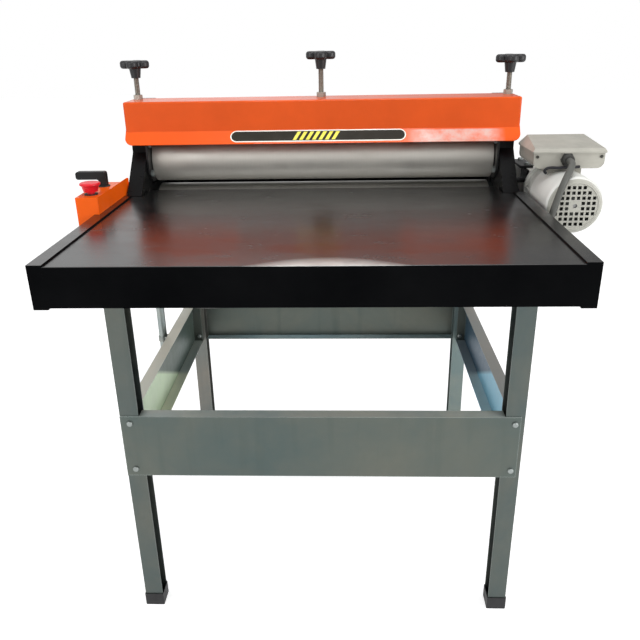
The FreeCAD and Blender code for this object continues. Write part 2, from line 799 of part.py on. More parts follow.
right_frame = side_frame()
PARTS["side_frame_right"] = [right_frame]
PARTS["side_frame_left"] = [mirror_x(right_frame)]
PARTS["crossbeam"] = [crossbeam()]
PARTS["hood"] = [hood()]
PARTS["lock_nuts"] = [lock_nut(x) for x in (-screw_x, 0, screw_x)]
PARTS["flange_bearings"] = [flange_bearing(-1), flange_bearing(1)]
PARTS["press_bolts"] = press_bolts()

upper_side = side_beam(upper_beam_wall, upper_beam_bottom, frame_base, half_stand_x,
                       side_beam_flange)
for y in (-flange_unit_pitch / 2, flange_unit_pitch / 2):
    hole = rod((half_stand_x - upper_beam_wall - 1, y, lower_z - flange_unit_pitch / 2),
               X_AXIS, unit_bolt_d / 2, upper_beam_wall + 2)
    upper_side = upper_side.cut(hole)
PARTS["upper_beams"] += [upper_side, mirror_x(upper_side)]


# ---------------------------------------------------------------- rollers
def roller_end(side, half, z, steps):
    """Stepped shaft end: each step is (outer position, diameter)."""
    pieces = []
    here = half - 1
    for reach, diameter in steps:
        pieces.append(rod((side * here, 0, z), X_AXIS * side, diameter / 2, reach - here))
        here = reach
    return pieces


def roller(half, z, left_steps, right_steps):
    """Turned roller with its two shaft ends."""
    body = rod((-half, 0, z), X_AXIS, roller_r, 2 * half)
    rims = [edge for edge in body.Edges if edge.Curve.TypeId == "Part::GeomCircle"]
    body = body.makeChamfer(roller_chamfer, rims)
    ends = roller_end(-1, half, z, left_steps) + roller_end(1, half, z, right_steps)
    return body.fuse(ends).removeSplitter()


def carrier():
    """Right upper bearing carrier: block in the window, flange on the inner side."""
    inner = frame_inner - carrier_gap
    block = box(inner, frame_outer + carrier_proud, -window_half, window_half,
                block_low, block_high)
    face = carrier_face
    outline = [(face, -carrier_half + carrier_corner, block_high),
               (face, -carrier_half, block_high - carrier_corner),
               (face, -carrier_half, upper_z - carrier_knee),
               (face, -carrier_foot, block_low),
               (face, carrier_foot, block_low),
               (face, carrier_half, upper_z - carrier_knee),
               (face, carrier_half, block_high - carrier_corner),
               (face, carrier_half - carrier_corner, block_high)]
    casting = block.fuse(prism(outline, (carrier_flange, 0, 0))).removeSplitter()
    entry = rod((face - 1, 0, upper_z), X_AXIS, journal_d / 2 + journal_slot_play,
                frame_thickness + carrier_flange)
    seat = rod((carrier_insert_x, 0, upper_z), X_AXIS, insert_d / 2, frame_thickness)
    top = block_high
    neck = box(screw_x - screw_d / 2 - slot_play, screw_x + screw_d / 2 + slot_play,
               -window_half - 1, window_half + 1, top - slot_neck, top + 1)
    foot = screw_foot_d / 2 + slot_play
    pocket = box(screw_x - foot, screw_x + foot, -window_half - 1, window_half + 1,
                 top - slot_neck - screw_foot_h - slot_play, top - slot_neck)
    casting = casting.cut([entry, seat, neck, pocket])
    for y, z in carrier_bolt_places():
        casting = casting.cut(rod((face - 1, y, z), X_AXIS, carrier_bolt_d / 2,
                                  carrier_bolt_length + 1))
    return casting


def carrier_bolt_places():
    """Bolts around the bearing on a carrier's inner flange."""
    return [(y, upper_z + z) for y in (-carrier_bolt_y, carrier_bolt_y)
            for z in (-carrier_bolt_low, carrier_bolt_high)]


def carrier_bolts():
    """Hexagon bolts on both carriers."""
    face = carrier_face
    bolts = []
    for y, z in carrier_bolt_places():
        head = hexagon((face - carrier_head_h, y, z), X_AXIS, carrier_bolt_af, carrier_head_h)
        shank = rod((face, y, z), X_AXIS, carrier_bolt_d / 2, carrier_bolt_length)
        bolts.append(head.fuse(shank).removeSplitter())
    return bolts + [mirror_x(bolt) for bolt in bolts]


def yoke():
    """Fork under the crossbeam that carries the back-up roller and the centre screw."""
    top = yoke_top
    half = support_half
    block = box(-half, half, -yoke_depth / 2, yoke_depth / 2, support_z - yoke_drop, top)
    room = support_width / 2 + support_gap
    hollow = box(-room, room, -yoke_depth / 2 - 1, yoke_depth / 2 + 1,
                 support_z - yoke_drop - 1, top - yoke_roof)
    pin = rod((-half - 1, 0, support_z), X_AXIS, support_pin_d / 2, 2 * half + 2)
    seat = rod((0, 0, top - yoke_roof - 1), Z_AXIS, screw_d / 2 + slot_play, yoke_roof + 2)
    foot = rod((0, 0, top - yoke_roof - 1), Z_AXIS, screw_foot_d / 2 + slot_play,
               yoke_foot_h + slot_play + 1)
    return block.cut([hollow, pin, seat, foot])



drive_shoulder = gearbox_left - gearbox_cover_t
drive_end = gearbox_right + gearbox_cover_t
PARTS["lower_roller"] = [roller(lower_half, lower_z, [(unit_outer + insert_recess, journal_d)],
                                [(drive_shoulder, journal_d), (drive_end, drive_shaft_d)])]
lower_insert = bearing_insert(unit_outer - insert_width - insert_recess / 2, lower_z)
PARTS["lower_bearing_inserts"] = [lower_insert, mirror_x(lower_insert)]
upper_step = [(frame_outer - 2 * carrier_gap, journal_d)]
PARTS["upper_roller"] = [roller(upper_half, upper_z, upper_step, upper_step)]
upper_insert = bearing_insert(carrier_insert_x + carrier_gap, upper_z)
PARTS["upper_bearing_inserts"] = [upper_insert, mirror_x(upper_insert)]
right_carrier = carrier()
PARTS["bearing_carrier_right"] = [right_carrier]
PARTS["bearing_carrier_left"] = [mirror_x(right_carrier)]
PARTS["carrier_bolts"] = carrier_bolts()
support_pin = rod((-support_half, 0, support_z), X_AXIS, support_pin_d / 2, 2 * support_half)
PARTS["support_yoke"] = [yoke(), support_pin]
PARTS["support_roller"] = [tube((-support_width / 2, 0, support_z), X_AXIS, support_d / 2,
                                support_pin_d / 2 + running_fit, support_width)]


# ---------------------------------------------------------------- pressure screws
def pressure_screw(x, foot_z, foot_h, knob_top):
    """Plain drawn screw with the foot that lifts its bearing."""
    foot = rod((x, 0, foot_z), Z_AXIS, screw_foot_d / 2, foot_h)
    length = knob_top - knob_h / 2 - foot_z
    return foot.fuse(rod((x, 0, foot_z), Z_AXIS, screw_d / 2, length)).removeSplitter()


def knob(x, knob_top):
    """Four-lobed knob with a tapered hub, pressed on the screw."""
    low = knob_top - knob_h
    core = rod((x, 0, low), Z_AXIS, knob_d / 2 - knob_lobe, knob_h)
    lobes = []
    for turn in range(4):
        angle = math.radians(90 * turn)
        lobe_x = x + (knob_d / 2 - knob_lobe) * math.cos(angle)
        lobe_y = (knob_d / 2 - knob_lobe) * math.sin(angle)
        lobes.append(rod((lobe_x, lobe_y, low), Z_AXIS, knob_lobe, knob_h))
    head = core.fuse(lobes).removeSplitter()
    rims = [edge for edge in head.Edges
            if abs(edge.CenterOfMass.z - low) < 0.01 or abs(edge.CenterOfMass.z - knob_top) < 0.01]
    head = head.makeFillet(knob_edge, rims)
    hub = Part.makeCone(knob_hub_low_d / 2, knob_hub_top_d / 2, knob_hub_h + 1,
                        Vector(x, 0, low - knob_hub_h), Z_AXIS)
    bore = rod((x, 0, low - knob_hub_h - 1), Z_AXIS, screw_d / 2, knob_hub_h + 1 + knob_h / 2)
    return head.fuse(hub).removeSplitter().cut(bore)



carrier_foot_z = block_high - slot_neck - screw_foot_h - slot_play / 2
yoke_foot_z = support_z + support_d / 2 + yoke_room + slot_play / 2
for place, x, foot_z, foot_h, top in (
        ("left", -screw_x, carrier_foot_z, screw_foot_h, hood_top + side_knob_rise),
        ("centre", 0.0, yoke_foot_z, yoke_foot_h, hood_top + centre_knob_rise),
        ("right", screw_x, carrier_foot_z, screw_foot_h, hood_top + side_knob_rise)):
    PARTS["pressure_screw_" + place] = [pressure_screw(x, foot_z, foot_h, top)]
    PARTS["knob_" + place] = [knob(x, top)]


# ---------------------------------------------------------------- gearbox
def gearbox_housing():
    """Worm gear housing with the worm above the hollow output shaft."""
    body = box(gearbox_left, gearbox_right, -gearbox_half, gearbox_half,
               lower_z - gearbox_below, lower_z + gearbox_above)
    body = body.makeFillet(gearbox_round, edges_along(body, X_AXIS, lambda middle: True))
    flange = rod((gearbox_x, -motor_start, motor_z), Y_AXIS, motor_flange_d / 2,
                 gearbox_flange_t)
    neck = rod((gearbox_x, -motor_start, motor_z), Y_AXIS, gearbox_neck_d / 2, motor_start)
    cap = rod((gearbox_x, gearbox_half - 1, motor_z), Y_AXIS, gearbox_cap_d / 2,
              gearbox_cover_t + 1)
    body = body.fuse([flange, neck, cap]).removeSplitter()
    wheel_room = rod((gearbox_x - wheel_width / 2 - gear_room, 0, lower_z), X_AXIS,
                     wheel_r + gear_room, wheel_width + 2 * gear_room)
    hub_bore = rod((gearbox_left - 1, 0, lower_z), X_AXIS, hub_d / 2 + running_fit,
                   gearbox_width + 2)
    worm_room = rod((gearbox_x, -worm_half, motor_z), Y_AXIS, worm_r + gear_room, 2 * worm_half)
    shaft_bore = rod((gearbox_x, -motor_start - 1, motor_z), Y_AXIS,
                     worm_shaft_d / 2 + running_fit, motor_start + worm_half + worm_end)
    return body.cut([wheel_room, hub_bore, worm_room, shaft_bore])


def gearbox_cover(x):
    """Round side cover with its bolts' bosses and the shaft's opening."""
    return tube((x, 0, lower_z), X_AXIS, gearbox_cover_d / 2, hub_d / 2 + cover_play,
                gearbox_cover_t)


def gearbox_bolts():
    """Six cap screws on each side cover."""
    bolts = []
    for number in range(6):
        angle = math.radians(60 * number + 30)
        y = cover_pcd / 2 * math.cos(angle)
        z = lower_z + cover_pcd / 2 * math.sin(angle)
        bolts.append(rod((gearbox_left - gearbox_cover_t - cover_bolt_h, y, z), X_AXIS,
                         cover_bolt_d / 2, cover_bolt_h))
        bolts.append(rod((gearbox_right + gearbox_cover_t, y, z), X_AXIS,
                         cover_bolt_d / 2, cover_bolt_h))
    return bolts


def worm_wheel():
    """Worm wheel with its hollow hub, drawn at the pitch circle."""
    disc = rod((gearbox_x - wheel_width / 2, 0, lower_z), X_AXIS, wheel_r, wheel_width)
    hub = rod((gearbox_left - hub_end, 0, lower_z), X_AXIS, hub_d / 2,
              gearbox_width + 2 * hub_end)
    bore = rod((gearbox_left - hub_end - 1, 0, lower_z), X_AXIS, drive_shaft_d / 2,
               gearbox_width + 2 * hub_end + 2)
    return disc.fuse(hub).removeSplitter().cut(bore)


def worm_shaft():
    """Worm with its two bearing ends, hollow at the front for the motor shaft."""
    start = -motor_start + worm_setback
    length = worm_half + worm_end - start - 1
    shaft = rod((gearbox_x, start, motor_z), Y_AXIS, worm_shaft_d / 2, length)
    thread = rod((gearbox_x, -worm_thread / 2, motor_z), Y_AXIS, worm_r, worm_thread)
    bore = rod((gearbox_x, start - 1, motor_z), Y_AXIS, motor_shaft_d / 2, worm_socket + 1)
    return shaft.fuse(thread).removeSplitter().cut(bore)


def torque_bracket():
    """Folded bracket that stops the gearbox turning on the roller shaft."""
    low = T + torque_low
    high = T + torque_high
    floor = box(frame_outer, gearbox_left, torque_front, torque_rear, low, low + torque_wall)
    inner = box(frame_outer, frame_outer + torque_wall, torque_front, torque_rear, low, high)
    outer = box(gearbox_left - torque_wall, gearbox_left, torque_front, torque_tail, low,
                T + gearbox_above - gear_centre)
    return floor.fuse([inner, outer]).removeSplitter()



PARTS["gearbox_housing"] = [gearbox_housing()]
PARTS["gearbox_covers"] = [gearbox_cover(gearbox_left - gearbox_cover_t),
                           gearbox_cover(gearbox_right)]
PARTS["worm_wheel"] = [worm_wheel()]
PARTS["worm_shaft"] = [worm_shaft()]
PARTS["torque_bracket"] = [torque_bracket()]


# ---------------------------------------------------------------- motor
def motor_body():
    """Rolled motor shell between the two end shields."""
    return tube((gearbox_x, motor_rear, motor_z), Y_AXIS, motor_d / 2,
                motor_d / 2 - motor_shell, motor_length)


def motor_shield():
    """Rear end shield, which carries the fan cover."""
    return tube((gearbox_x, motor_rear - shield_t, motor_z), Y_AXIS,
                fan_cover_d / 2 - fan_cover_wall, motor_shaft_d / 2 + running_fit, shield_t)


def motor_bell():
    """Cast drive end between the gearbox and the motor shell: two rims and six ribs."""
    start = (gearbox_x, shell_front, motor_z)
    bell = rod(start, Y_AXIS, bell_neck_d / 2, bell_length)
    rims = [rod(start, Y_AXIS, motor_d / 2, bell_rim),
            rod((gearbox_x, -motor_start - bell_rim, motor_z), Y_AXIS, motor_d / 2, bell_rim)]
    ribs = []
    for number in range(3):
        rib = box(gearbox_x - motor_d / 2 + 1, gearbox_x + motor_d / 2 - 1,
                  shell_front + 1, -motor_start - 1, motor_z - bell_rib / 2, motor_z + bell_rib / 2)
        rib.rotate(Vector(gearbox_x, 0, motor_z), Y_AXIS, 60.0 * number)
        ribs.append(rib)
    bell = bell.fuse(rims + ribs).removeSplitter()
    return bell.cut(rod((gearbox_x, shell_front - 1, motor_z), Y_AXIS,
                        motor_shaft_d / 2 + running_fit, bell_length + 2))


def fan_cover():
    """Pressed cup over the fan with a grid of square holes in its front."""
    length = fan_cover_end + motor_rear
    cup = rod((gearbox_x, -fan_cover_end, motor_z), Y_AXIS, fan_cover_d / 2, length)
    rim = [edge for edge in cup.Edges if edge.Curve.TypeId == "Part::GeomCircle"
           and abs(edge.CenterOfMass.y + fan_cover_end) < 0.01]
    cup = cup.makeFillet(fan_cover_round, rim)
    inner = rod((gearbox_x, -fan_cover_end + fan_cover_wall, motor_z), Y_AXIS,
                fan_cover_d / 2 - fan_cover_wall, length)
    rim = [edge for edge in inner.Edges if edge.Curve.TypeId == "Part::GeomCircle"
           and abs(edge.CenterOfMass.y + fan_cover_end - fan_cover_wall) < 0.01]
    cup = cup.cut(inner.makeFillet(fan_cover_round - fan_cover_wall, rim))
    holes = []
    half = grille_hole / 2
    steps = int(grille_reach / grille_pitch)
    offsets = [(step + 0.5) * grille_pitch for step in range(-steps, steps)]
    for dx in offsets:
        for dz in offsets:
            if grille_blank < math.hypot(dx, dz) < grille_reach:
                x = gearbox_x + dx
                z = motor_z + dz
                holes.append(box(x - half, x + half, -fan_cover_end - 1,
                                 -fan_cover_end + fan_cover_wall + 1, z - half, z + half))
    holes.append(rod((gearbox_x, -fan_cover_end - 1, motor_z), Y_AXIS, grille_centre_d / 2,
                     fan_cover_wall + 2))
    return cup.cut(holes)


def motor_rotor():
    """Rotor core on the shaft that runs from the worm to the fan."""
    core = rod((gearbox_x, motor_rear + core_inset, motor_z), Y_AXIS,
               stator_bore / 2 - motor_air_gap, motor_length - 2 * core_inset)
    shaft_start = motor_rear - fan_reach
    shaft_end = -motor_start + worm_setback + worm_socket
    shaft = rod((gearbox_x, shaft_start, motor_z), Y_AXIS, motor_shaft_d / 2,
                shaft_end - shaft_start)
    return core.fuse(shaft).removeSplitter()


def motor_fan():
    """Radial fan with flat blades on the rotor shaft."""
    start = motor_rear - fan_reach
    hub = rod((gearbox_x, start, motor_z), Y_AXIS, fan_hub_d / 2, fan_width)
    back = rod((gearbox_x, start + fan_width - fan_back, motor_z), Y_AXIS, fan_d / 2, fan_back)
    blades = []
    for number in range(fan_blades):
        blade = box(gearbox_x, gearbox_x + fan_d / 2 - 1, start, start + fan_width,
                    motor_z - fan_back / 2, motor_z + fan_back / 2)
        blade.rotate(Vector(gearbox_x, 0, motor_z), Y_AXIS, 360.0 * number / fan_blades)
        blades.append(blade)
    bore = rod((gearbox_x, start - 1, motor_z), Y_AXIS, motor_shaft_d / 2, fan_width + 2)
    return hub.fuse([back] + blades).removeSplitter().cut(bore)


def terminal_box():
    """Open box on a saddle over the motor, rounded below."""
    x0 = gearbox_x - terminal_width / 2
    x1 = gearbox_x + terminal_width / 2
    low = terminal_bottom
    high = terminal_split
    blank = box(x0, x1, -terminal_front, -terminal_rear, low, high)
    blank = blank.makeFillet(terminal_round, edges_along(blank, Y_AXIS, lambda m: m.z < low + 1))
    room = box(x0 + terminal_wall, x1 - terminal_wall, -terminal_front + terminal_wall,
               -terminal_rear - terminal_wall, low + terminal_wall, high + 1)
    room = room.makeFillet(terminal_round - terminal_wall,
                           edges_along(room, Y_AXIS, lambda m: m.z < low + terminal_wall + 1))
    saddle = box(gearbox_x - saddle_half, gearbox_x + saddle_half,
                 -terminal_front + saddle_inset, -terminal_rear - saddle_inset,
                 motor_z + motor_d / 4, low + 1)
    shell = blank.cut(room).fuse(saddle).removeSplitter()
    return shell.cut(rod((gearbox_x, -fan_cover_end, motor_z), Y_AXIS, motor_d / 2,
                         fan_cover_end))


def terminal_lid():
    """Bevelled lid that slopes to the front, with a lip that overhangs the terminal box."""
    half = terminal_width / 2 + lid_overhang
    low = terminal_split
    high = terminal_top
    front = -terminal_front - lid_overhang
    rear = -terminal_rear + lid_overhang
    lip = box(gearbox_x - half, gearbox_x + half, front, rear, low, low + lid_lip)
    front_share = (lid_front_height - lid_lip) / (terminal_lid_height - lid_lip)

    def ring(front_inset, front_z, rear_inset, rear_z):
        return Part.makePolygon([Vector(gearbox_x - half + front_inset, front + front_inset, front_z),
                                 Vector(gearbox_x + half - front_inset, front + front_inset, front_z),
                                 Vector(gearbox_x + half - rear_inset, rear - rear_inset, rear_z),
                                 Vector(gearbox_x - half + rear_inset, rear - rear_inset, rear_z),
                                 Vector(gearbox_x - half + front_inset, front + front_inset, front_z)])

    crown = Part.makeLoft([ring(0, low + lid_lip, 0, low + lid_lip),
                           ring(lid_bevel * front_share, low + lid_front_height,
                                lid_bevel, high)], True, True)
    lid = lip.fuse(crown).removeSplitter()
    lid = lid.makeFillet(lid_corner, edges_along(lid, Z_AXIS, lambda middle: True))
    inside = box(gearbox_x - half + lid_bevel, gearbox_x + half - lid_bevel,
                 front + lid_bevel, rear - lid_bevel, low - 1, low + lid_front_height - terminal_wall)
    return lid.cut(inside)


def terminal_screws():
    """Lid screws at the corners of the terminal box's front and rear walls."""
    screws = []
    for side in (-1, 1):
        x = gearbox_x + side * (terminal_width / 2 - terminal_screw_inset)
        z = terminal_split - terminal_screw_inset
        screws.append(rod((x, -terminal_front - terminal_screw_h, z), Y_AXIS,
                          terminal_screw_d / 2, terminal_screw_h))
        screws.append(rod((x, -terminal_rear, z), Y_AXIS, terminal_screw_d / 2,
                          terminal_screw_h))
    return screws


def gland(start, axis):
    """Cable gland: hexagon foot and a round clamping nut, bored for the cable."""
    foot = hexagon(start, axis, gland_af, gland_length / 3)
    nut = rod(start, axis, gland_nut_d / 2, gland_length)
    end = Vector(*start) + axis * gland_length
    nut = nut.makeFillet(gland_edge, [edge for edge in nut.Edges
                                      if edge.CenterOfMass.distanceToPoint(end) < 0.01])
    bore = rod(start, axis, cable_d / 2, gland_length + 1)
    return foot.fuse(nut).removeSplitter().cut(bore)



PARTS["motor_body"] = [motor_body(), motor_shield()]
PARTS["motor_bell"] = [motor_bell()]
PARTS["motor_stator"] = [tube((gearbox_x, motor_rear + core_inset, motor_z), Y_AXIS,
                              motor_d / 2 - motor_shell, stator_bore / 2,
                              motor_length - 2 * core_inset)]
PARTS["motor_rotor"] = [motor_rotor()]
PARTS["motor_fan"] = [motor_fan()]
PARTS["fan_cover"] = [fan_cover()]
PARTS["terminal_box"] = [terminal_box()]
PARTS["terminal_lid"] = [terminal_lid()]
PARTS["press_bolts"] += gearbox_bolts() + terminal_screws()


# ---------------------------------------------------------------- control box
def control_box():
    """Folded control box: it rests on the side rail and hangs down beside it."""
    front = -box_front
    rear = -box_rear
    blank = box(box_left, -box_inner, front, rear, rail_top, panel_z)
    drop = box(box_left, -table_half, front, rear, box_low, rail_top)
    room = box(box_left + box_sheet, -box_inner - box_sheet, front + box_sheet,
               rear - box_sheet, rail_top + box_sheet, panel_z - box_sheet)
    pit = box(box_left + box_sheet, -table_half - box_sheet, front + box_sheet,
              rear - box_sheet, box_low - 1, rail_top + box_sheet + 1)
    tail = box(-box_inner - box_sheet, -box_inner, rear - 1, rear + box_tail, rail_top, panel_z)
    apron = box(-box_inner - box_sheet, -box_inner, -rail_end + panel_play, rear + box_tail,
                rail_top - box_apron, rail_top + 1)
    flange = box(-box_inner - box_sheet, -frame_outer, rear + box_tail - box_sheet,
                 rear + box_tail, rail_top, panel_z)
    shell = blank.fuse(drop).removeSplitter().cut([room, pit])
    shell = shell.fuse([tail, apron, flange]).removeSplitter()
    estop_hole = rod((control_x, -estop_y, T), Z_AXIS, estop_stem_d / 2 + panel_play, box_top + 1)
    switch_hole = rod((control_x, -switch_y, T), Z_AXIS, switch_shaft_d / 2 + panel_play,
                      box_top + 1)
    return shell.cut([estop_hole, switch_hole])


def control_base():
    """Bottom plate of the control box."""
    plate = box(box_left + box_sheet, -table_half - box_sheet, -box_front + box_sheet,
                -box_rear - box_sheet, box_low, box_low + box_sheet)
    conduit_hole = rod((box_drop_x, -conduit_entry, box_low - 1), Z_AXIS,
                       conduit_d / 2 - conduit_wall, box_sheet + 2)
    cable_hole = rod((box_drop_x, -estop_y, box_low - 1), Z_AXIS, cable_d / 2,
                     box_sheet + 2)
    return plate.cut([conduit_hole, cable_hole])


def estop_base():
    """Fixed collar on the panel and the contact block under it."""
    collar = tube((control_x, -estop_y, panel_z), Z_AXIS, estop_base_d / 2,
                  estop_stem_d / 2 + running_fit, estop_base_h)
    half = estop_body / 2
    top = panel_z - box_sheet
    block = box(control_x - half, control_x + half, -estop_y - half, -estop_y + half,
                top - estop_block_h, top)
    bore = rod((control_x, -estop_y, top - estop_block_h + box_sheet), Z_AXIS,
               estop_stem_d / 2 + running_fit, estop_block_h)
    return [collar, block.cut(bore)]


def estop_button():
    """Mushroom button: domed head, waist and stem, turned about its axis."""
    panel = panel_z
    low = panel + estop_cap_low
    high = panel + estop_cap_top
    head = estop_d / 2
    neck = estop_neck_d / 2
    waist = estop_waist_d / 2
    stem = estop_stem_d / 2
    foot = low - estop_stem_length
    shoulder = high - estop_rim - estop_edge
    edge_low = Vector(head, 0, high - estop_dome - estop_edge)
    edge_high = Vector(head - estop_edge, 0, high - estop_dome)
    bulge = estop_edge * (1 - math.sqrt(0.5))
    edge_middle = Vector(head - bulge, 0, high - estop_dome - bulge)
    top = Vector(0, 0, high)
    profile = [(0, foot), (stem, foot), (stem, low), (waist, low), (neck, high - estop_taper),
               (head - estop_groove, shoulder - estop_groove), (head, shoulder)]
    points = [Vector(r, 0, z) for r, z in profile] + [edge_low]
    edges = [Part.LineSegment(a, b).toShape() for a, b in zip(points, points[1:])]
    edges.append(Part.Arc(edge_low, edge_middle, edge_high).toShape())
    edges.append(Part.LineSegment(edge_high, top).toShape())
    edges.append(Part.LineSegment(top, points[0]).toShape())
    button = Part.Solid(Part.Face(Part.Wire(edges)).revolve(Vector(0, 0, 0), Z_AXIS, 360))
    return button.translated(Vector(control_x, -estop_y, 0))


def switch_base():
    """Fixed plate on the panel and the switch body under it."""
    bore_r = switch_shaft_d / 2 + running_fit
    plate = tube((control_x, -switch_y, panel_z), Z_AXIS, switch_plate_d / 2, bore_r,
                 switch_plate_h)
    half = switch_body_side / 2
    top = panel_z - box_sheet
    body = box(control_x - half, control_x + half, -switch_y - half, -switch_y + half,
               top - switch_body_h, top)
    bore = rod((control_x, -switch_y, top - switch_shaft_in), Z_AXIS, bore_r,
               switch_shaft_in + 1)
    return [plate, body.cut(bore)]


def switch_handle():
    """L-shaped handle of the reversing switch with its shaft."""
    panel = panel_z
    half = switch_stem / 2
    stem = box(control_x - half, control_x + half, -switch_y - half, -switch_y + half,
               panel + switch_plate_h + support_gap, panel + switch_arm_top)
    arm = box(handle_tip, control_x, -switch_y - half, -switch_y + half,
              panel + switch_arm_low, panel + switch_arm_top)
    handle = stem.fuse(arm).removeSplitter()
    handle = handle.makeFillet(handle_edge, edges_along(
        handle, Y_AXIS, lambda m: m.z > panel + switch_arm_low - 1))
    shaft = rod((control_x, -switch_y, panel_z - box_sheet - switch_shaft_in + 1), Z_AXIS,
                switch_shaft_d / 2, switch_shaft_in + switch_arm_low)
    return handle.fuse(shaft).removeSplitter()



PARTS["control_box"] = [control_box()]
PARTS["control_base"] = [control_base()]
PARTS["estop_base"] = estop_base()
PARTS["estop_button"] = [estop_button()]
PARTS["switch_base"] = switch_base()
PARTS["switch_handle"] = [switch_handle()]

# ---------------------------------------------------------------- conduit and motor cable
conduit_points = [(-conduit_x, conduit_y, conduit_bottom),
                  (-conduit_x, conduit_y, T - 135),
                  (box_drop_x, -conduit_entry, T - 135),
                  (box_drop_x, -conduit_entry, box_low)]
conduit, conduit_radii = swept(conduit_points, conduit_d, conduit_d - 2 * conduit_wall)
PARTS["cable_conduit"] = [conduit]

gland_start = (gearbox_x - gland_offset, -terminal_front, terminal_bottom + gland_rise)
box_gland_start = (box_drop_x, -estop_y, box_low)
PARTS["cable_glands"] = [gland(gland_start, Y_AXIS * -1), gland(box_gland_start, Z_AXIS * -1)]

cable_start_y = -terminal_front - gland_length
cable_end_z = box_low - gland_length
clip_z = upper_beam_bottom - cable_d / 2 - clip_drop
clip_y = -half_stand_y + 14
cable_points = [(gland_start[0], cable_start_y, gland_start[2]),
                (gland_start[0], cable_start_y - 22, gland_start[2] - 1),
                (gearbox_x - 13, cable_start_y - 41, T + 70),
                (gearbox_x - 29, cable_start_y - 63, T + 51),
                (gearbox_x - 40, cable_start_y - 68, T + 18),
                (gearbox_x - 50, cable_start_y - 71, T - 20),
                (gearbox_x - 57, cable_start_y - 75, T - 64),
                (gearbox_x - 60, cable_start_y - 81, T - 112),
                (gearbox_x - 65, cable_start_y - 85, T - 148),
                (gearbox_x - 82, cable_start_y - 91, T - 174),
                (gearbox_x - 118, cable_start_y - 102, T - 186),
                (330, clip_y, clip_z),
                (220, clip_y, clip_z - 14),
                (110, clip_y, clip_z),
                (0, clip_y, clip_z - 11),
                (-110, clip_y, clip_z),
                (-220, clip_y, clip_z - 15),
                (-330, clip_y, clip_z),
                (-384, -322, T - 184),
                (-424, -308, T - 176),
                (-446, -296, T - 150),
                (box_drop_x, -estop_y, T - 104),
                (box_drop_x, -estop_y, cable_end_z)]
cable, cable_radii = swept(cable_points, cable_d)
PARTS["motor_cable"] = [cable]


def clip(middle, heading):
    """Hanger that holds the cable under the front upper beam, square to the cable."""
    start = middle - heading * (clip_width / 2)
    ring = rod(start, heading, cable_d / 2 + clip_play + clip_wall, clip_width)
    stem = box(middle.x - clip_width / 2, middle.x + clip_width / 2, middle.y - clip_wall,
               middle.y + clip_wall, middle.z, upper_beam_bottom)
    hollow = rod(start - heading, heading, cable_d / 2 + clip_play, clip_width + 2)
    return ring.fuse(stem).removeSplitter().cut(hollow)


def conduit_clamp(z, face):
    """Saddle that holds the conduit off a left beam's outer face."""
    ring = rod((-conduit_x, conduit_y, z), Z_AXIS, conduit_d / 2 + clip_wall, clamp_height)
    foot = box(-conduit_x, -face, conduit_y - conduit_d / 2, conduit_y + conduit_d / 2,
               z, z + clamp_height)
    hollow = rod((-conduit_x, conduit_y, z), Z_AXIS, conduit_d / 2, clamp_height)
    return ring.fuse(foot).removeSplitter().cut(hollow)


clips = [clip(middle, heading) for middle, heading in route(cable_points)[2]
         if abs(middle.z - clip_z) < clip_reach and abs(middle.y - clip_y) < clip_reach]
PARTS["clips"] = clips
PARTS["clips"] += [conduit_clamp(lower_beam_top - clamp_inset, lower_side_outer),
                   conduit_clamp(upper_beam_bottom, half_stand_x)]
PARTS["beam_lower_left"] = [left_beam]


# ---------------------------------------------------------------- export
def export():
    """Write one STEP file per piece, shifted to the machine's origin."""
    os.makedirs("parts", exist_ok=True)
    for name, solids in sorted(PARTS.items()):
        shape = solids[0] if len(solids) == 1 else Part.makeCompound(solids)
        shape = shape.translated(Vector(shift_x, 0, 0))
        shape.exportStep("parts/%s.step" % name)
    print("pieces", len(PARTS), "solids", sum(len(s) for s in PARTS.values()))
    print("shift_x", round(shift_x, 3))
    print("conduit bend radii", [round(r) for r in conduit_radii])
    print("cable bend radii", [round(r) for r in cable_radii])


export()
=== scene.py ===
"""Looks of a floor-standing motorised roller press for cutting and creasing board.

Metres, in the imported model's frame: +Z up, the operator stands on the -Y side, X runs
along the rollers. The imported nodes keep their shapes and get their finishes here. Threads,
the guard's strip, a short lead and other small forms are added as pieces that ride on them.
"""
import bmesh
import bpy
import json
import math
from mathutils import Matrix, Vector


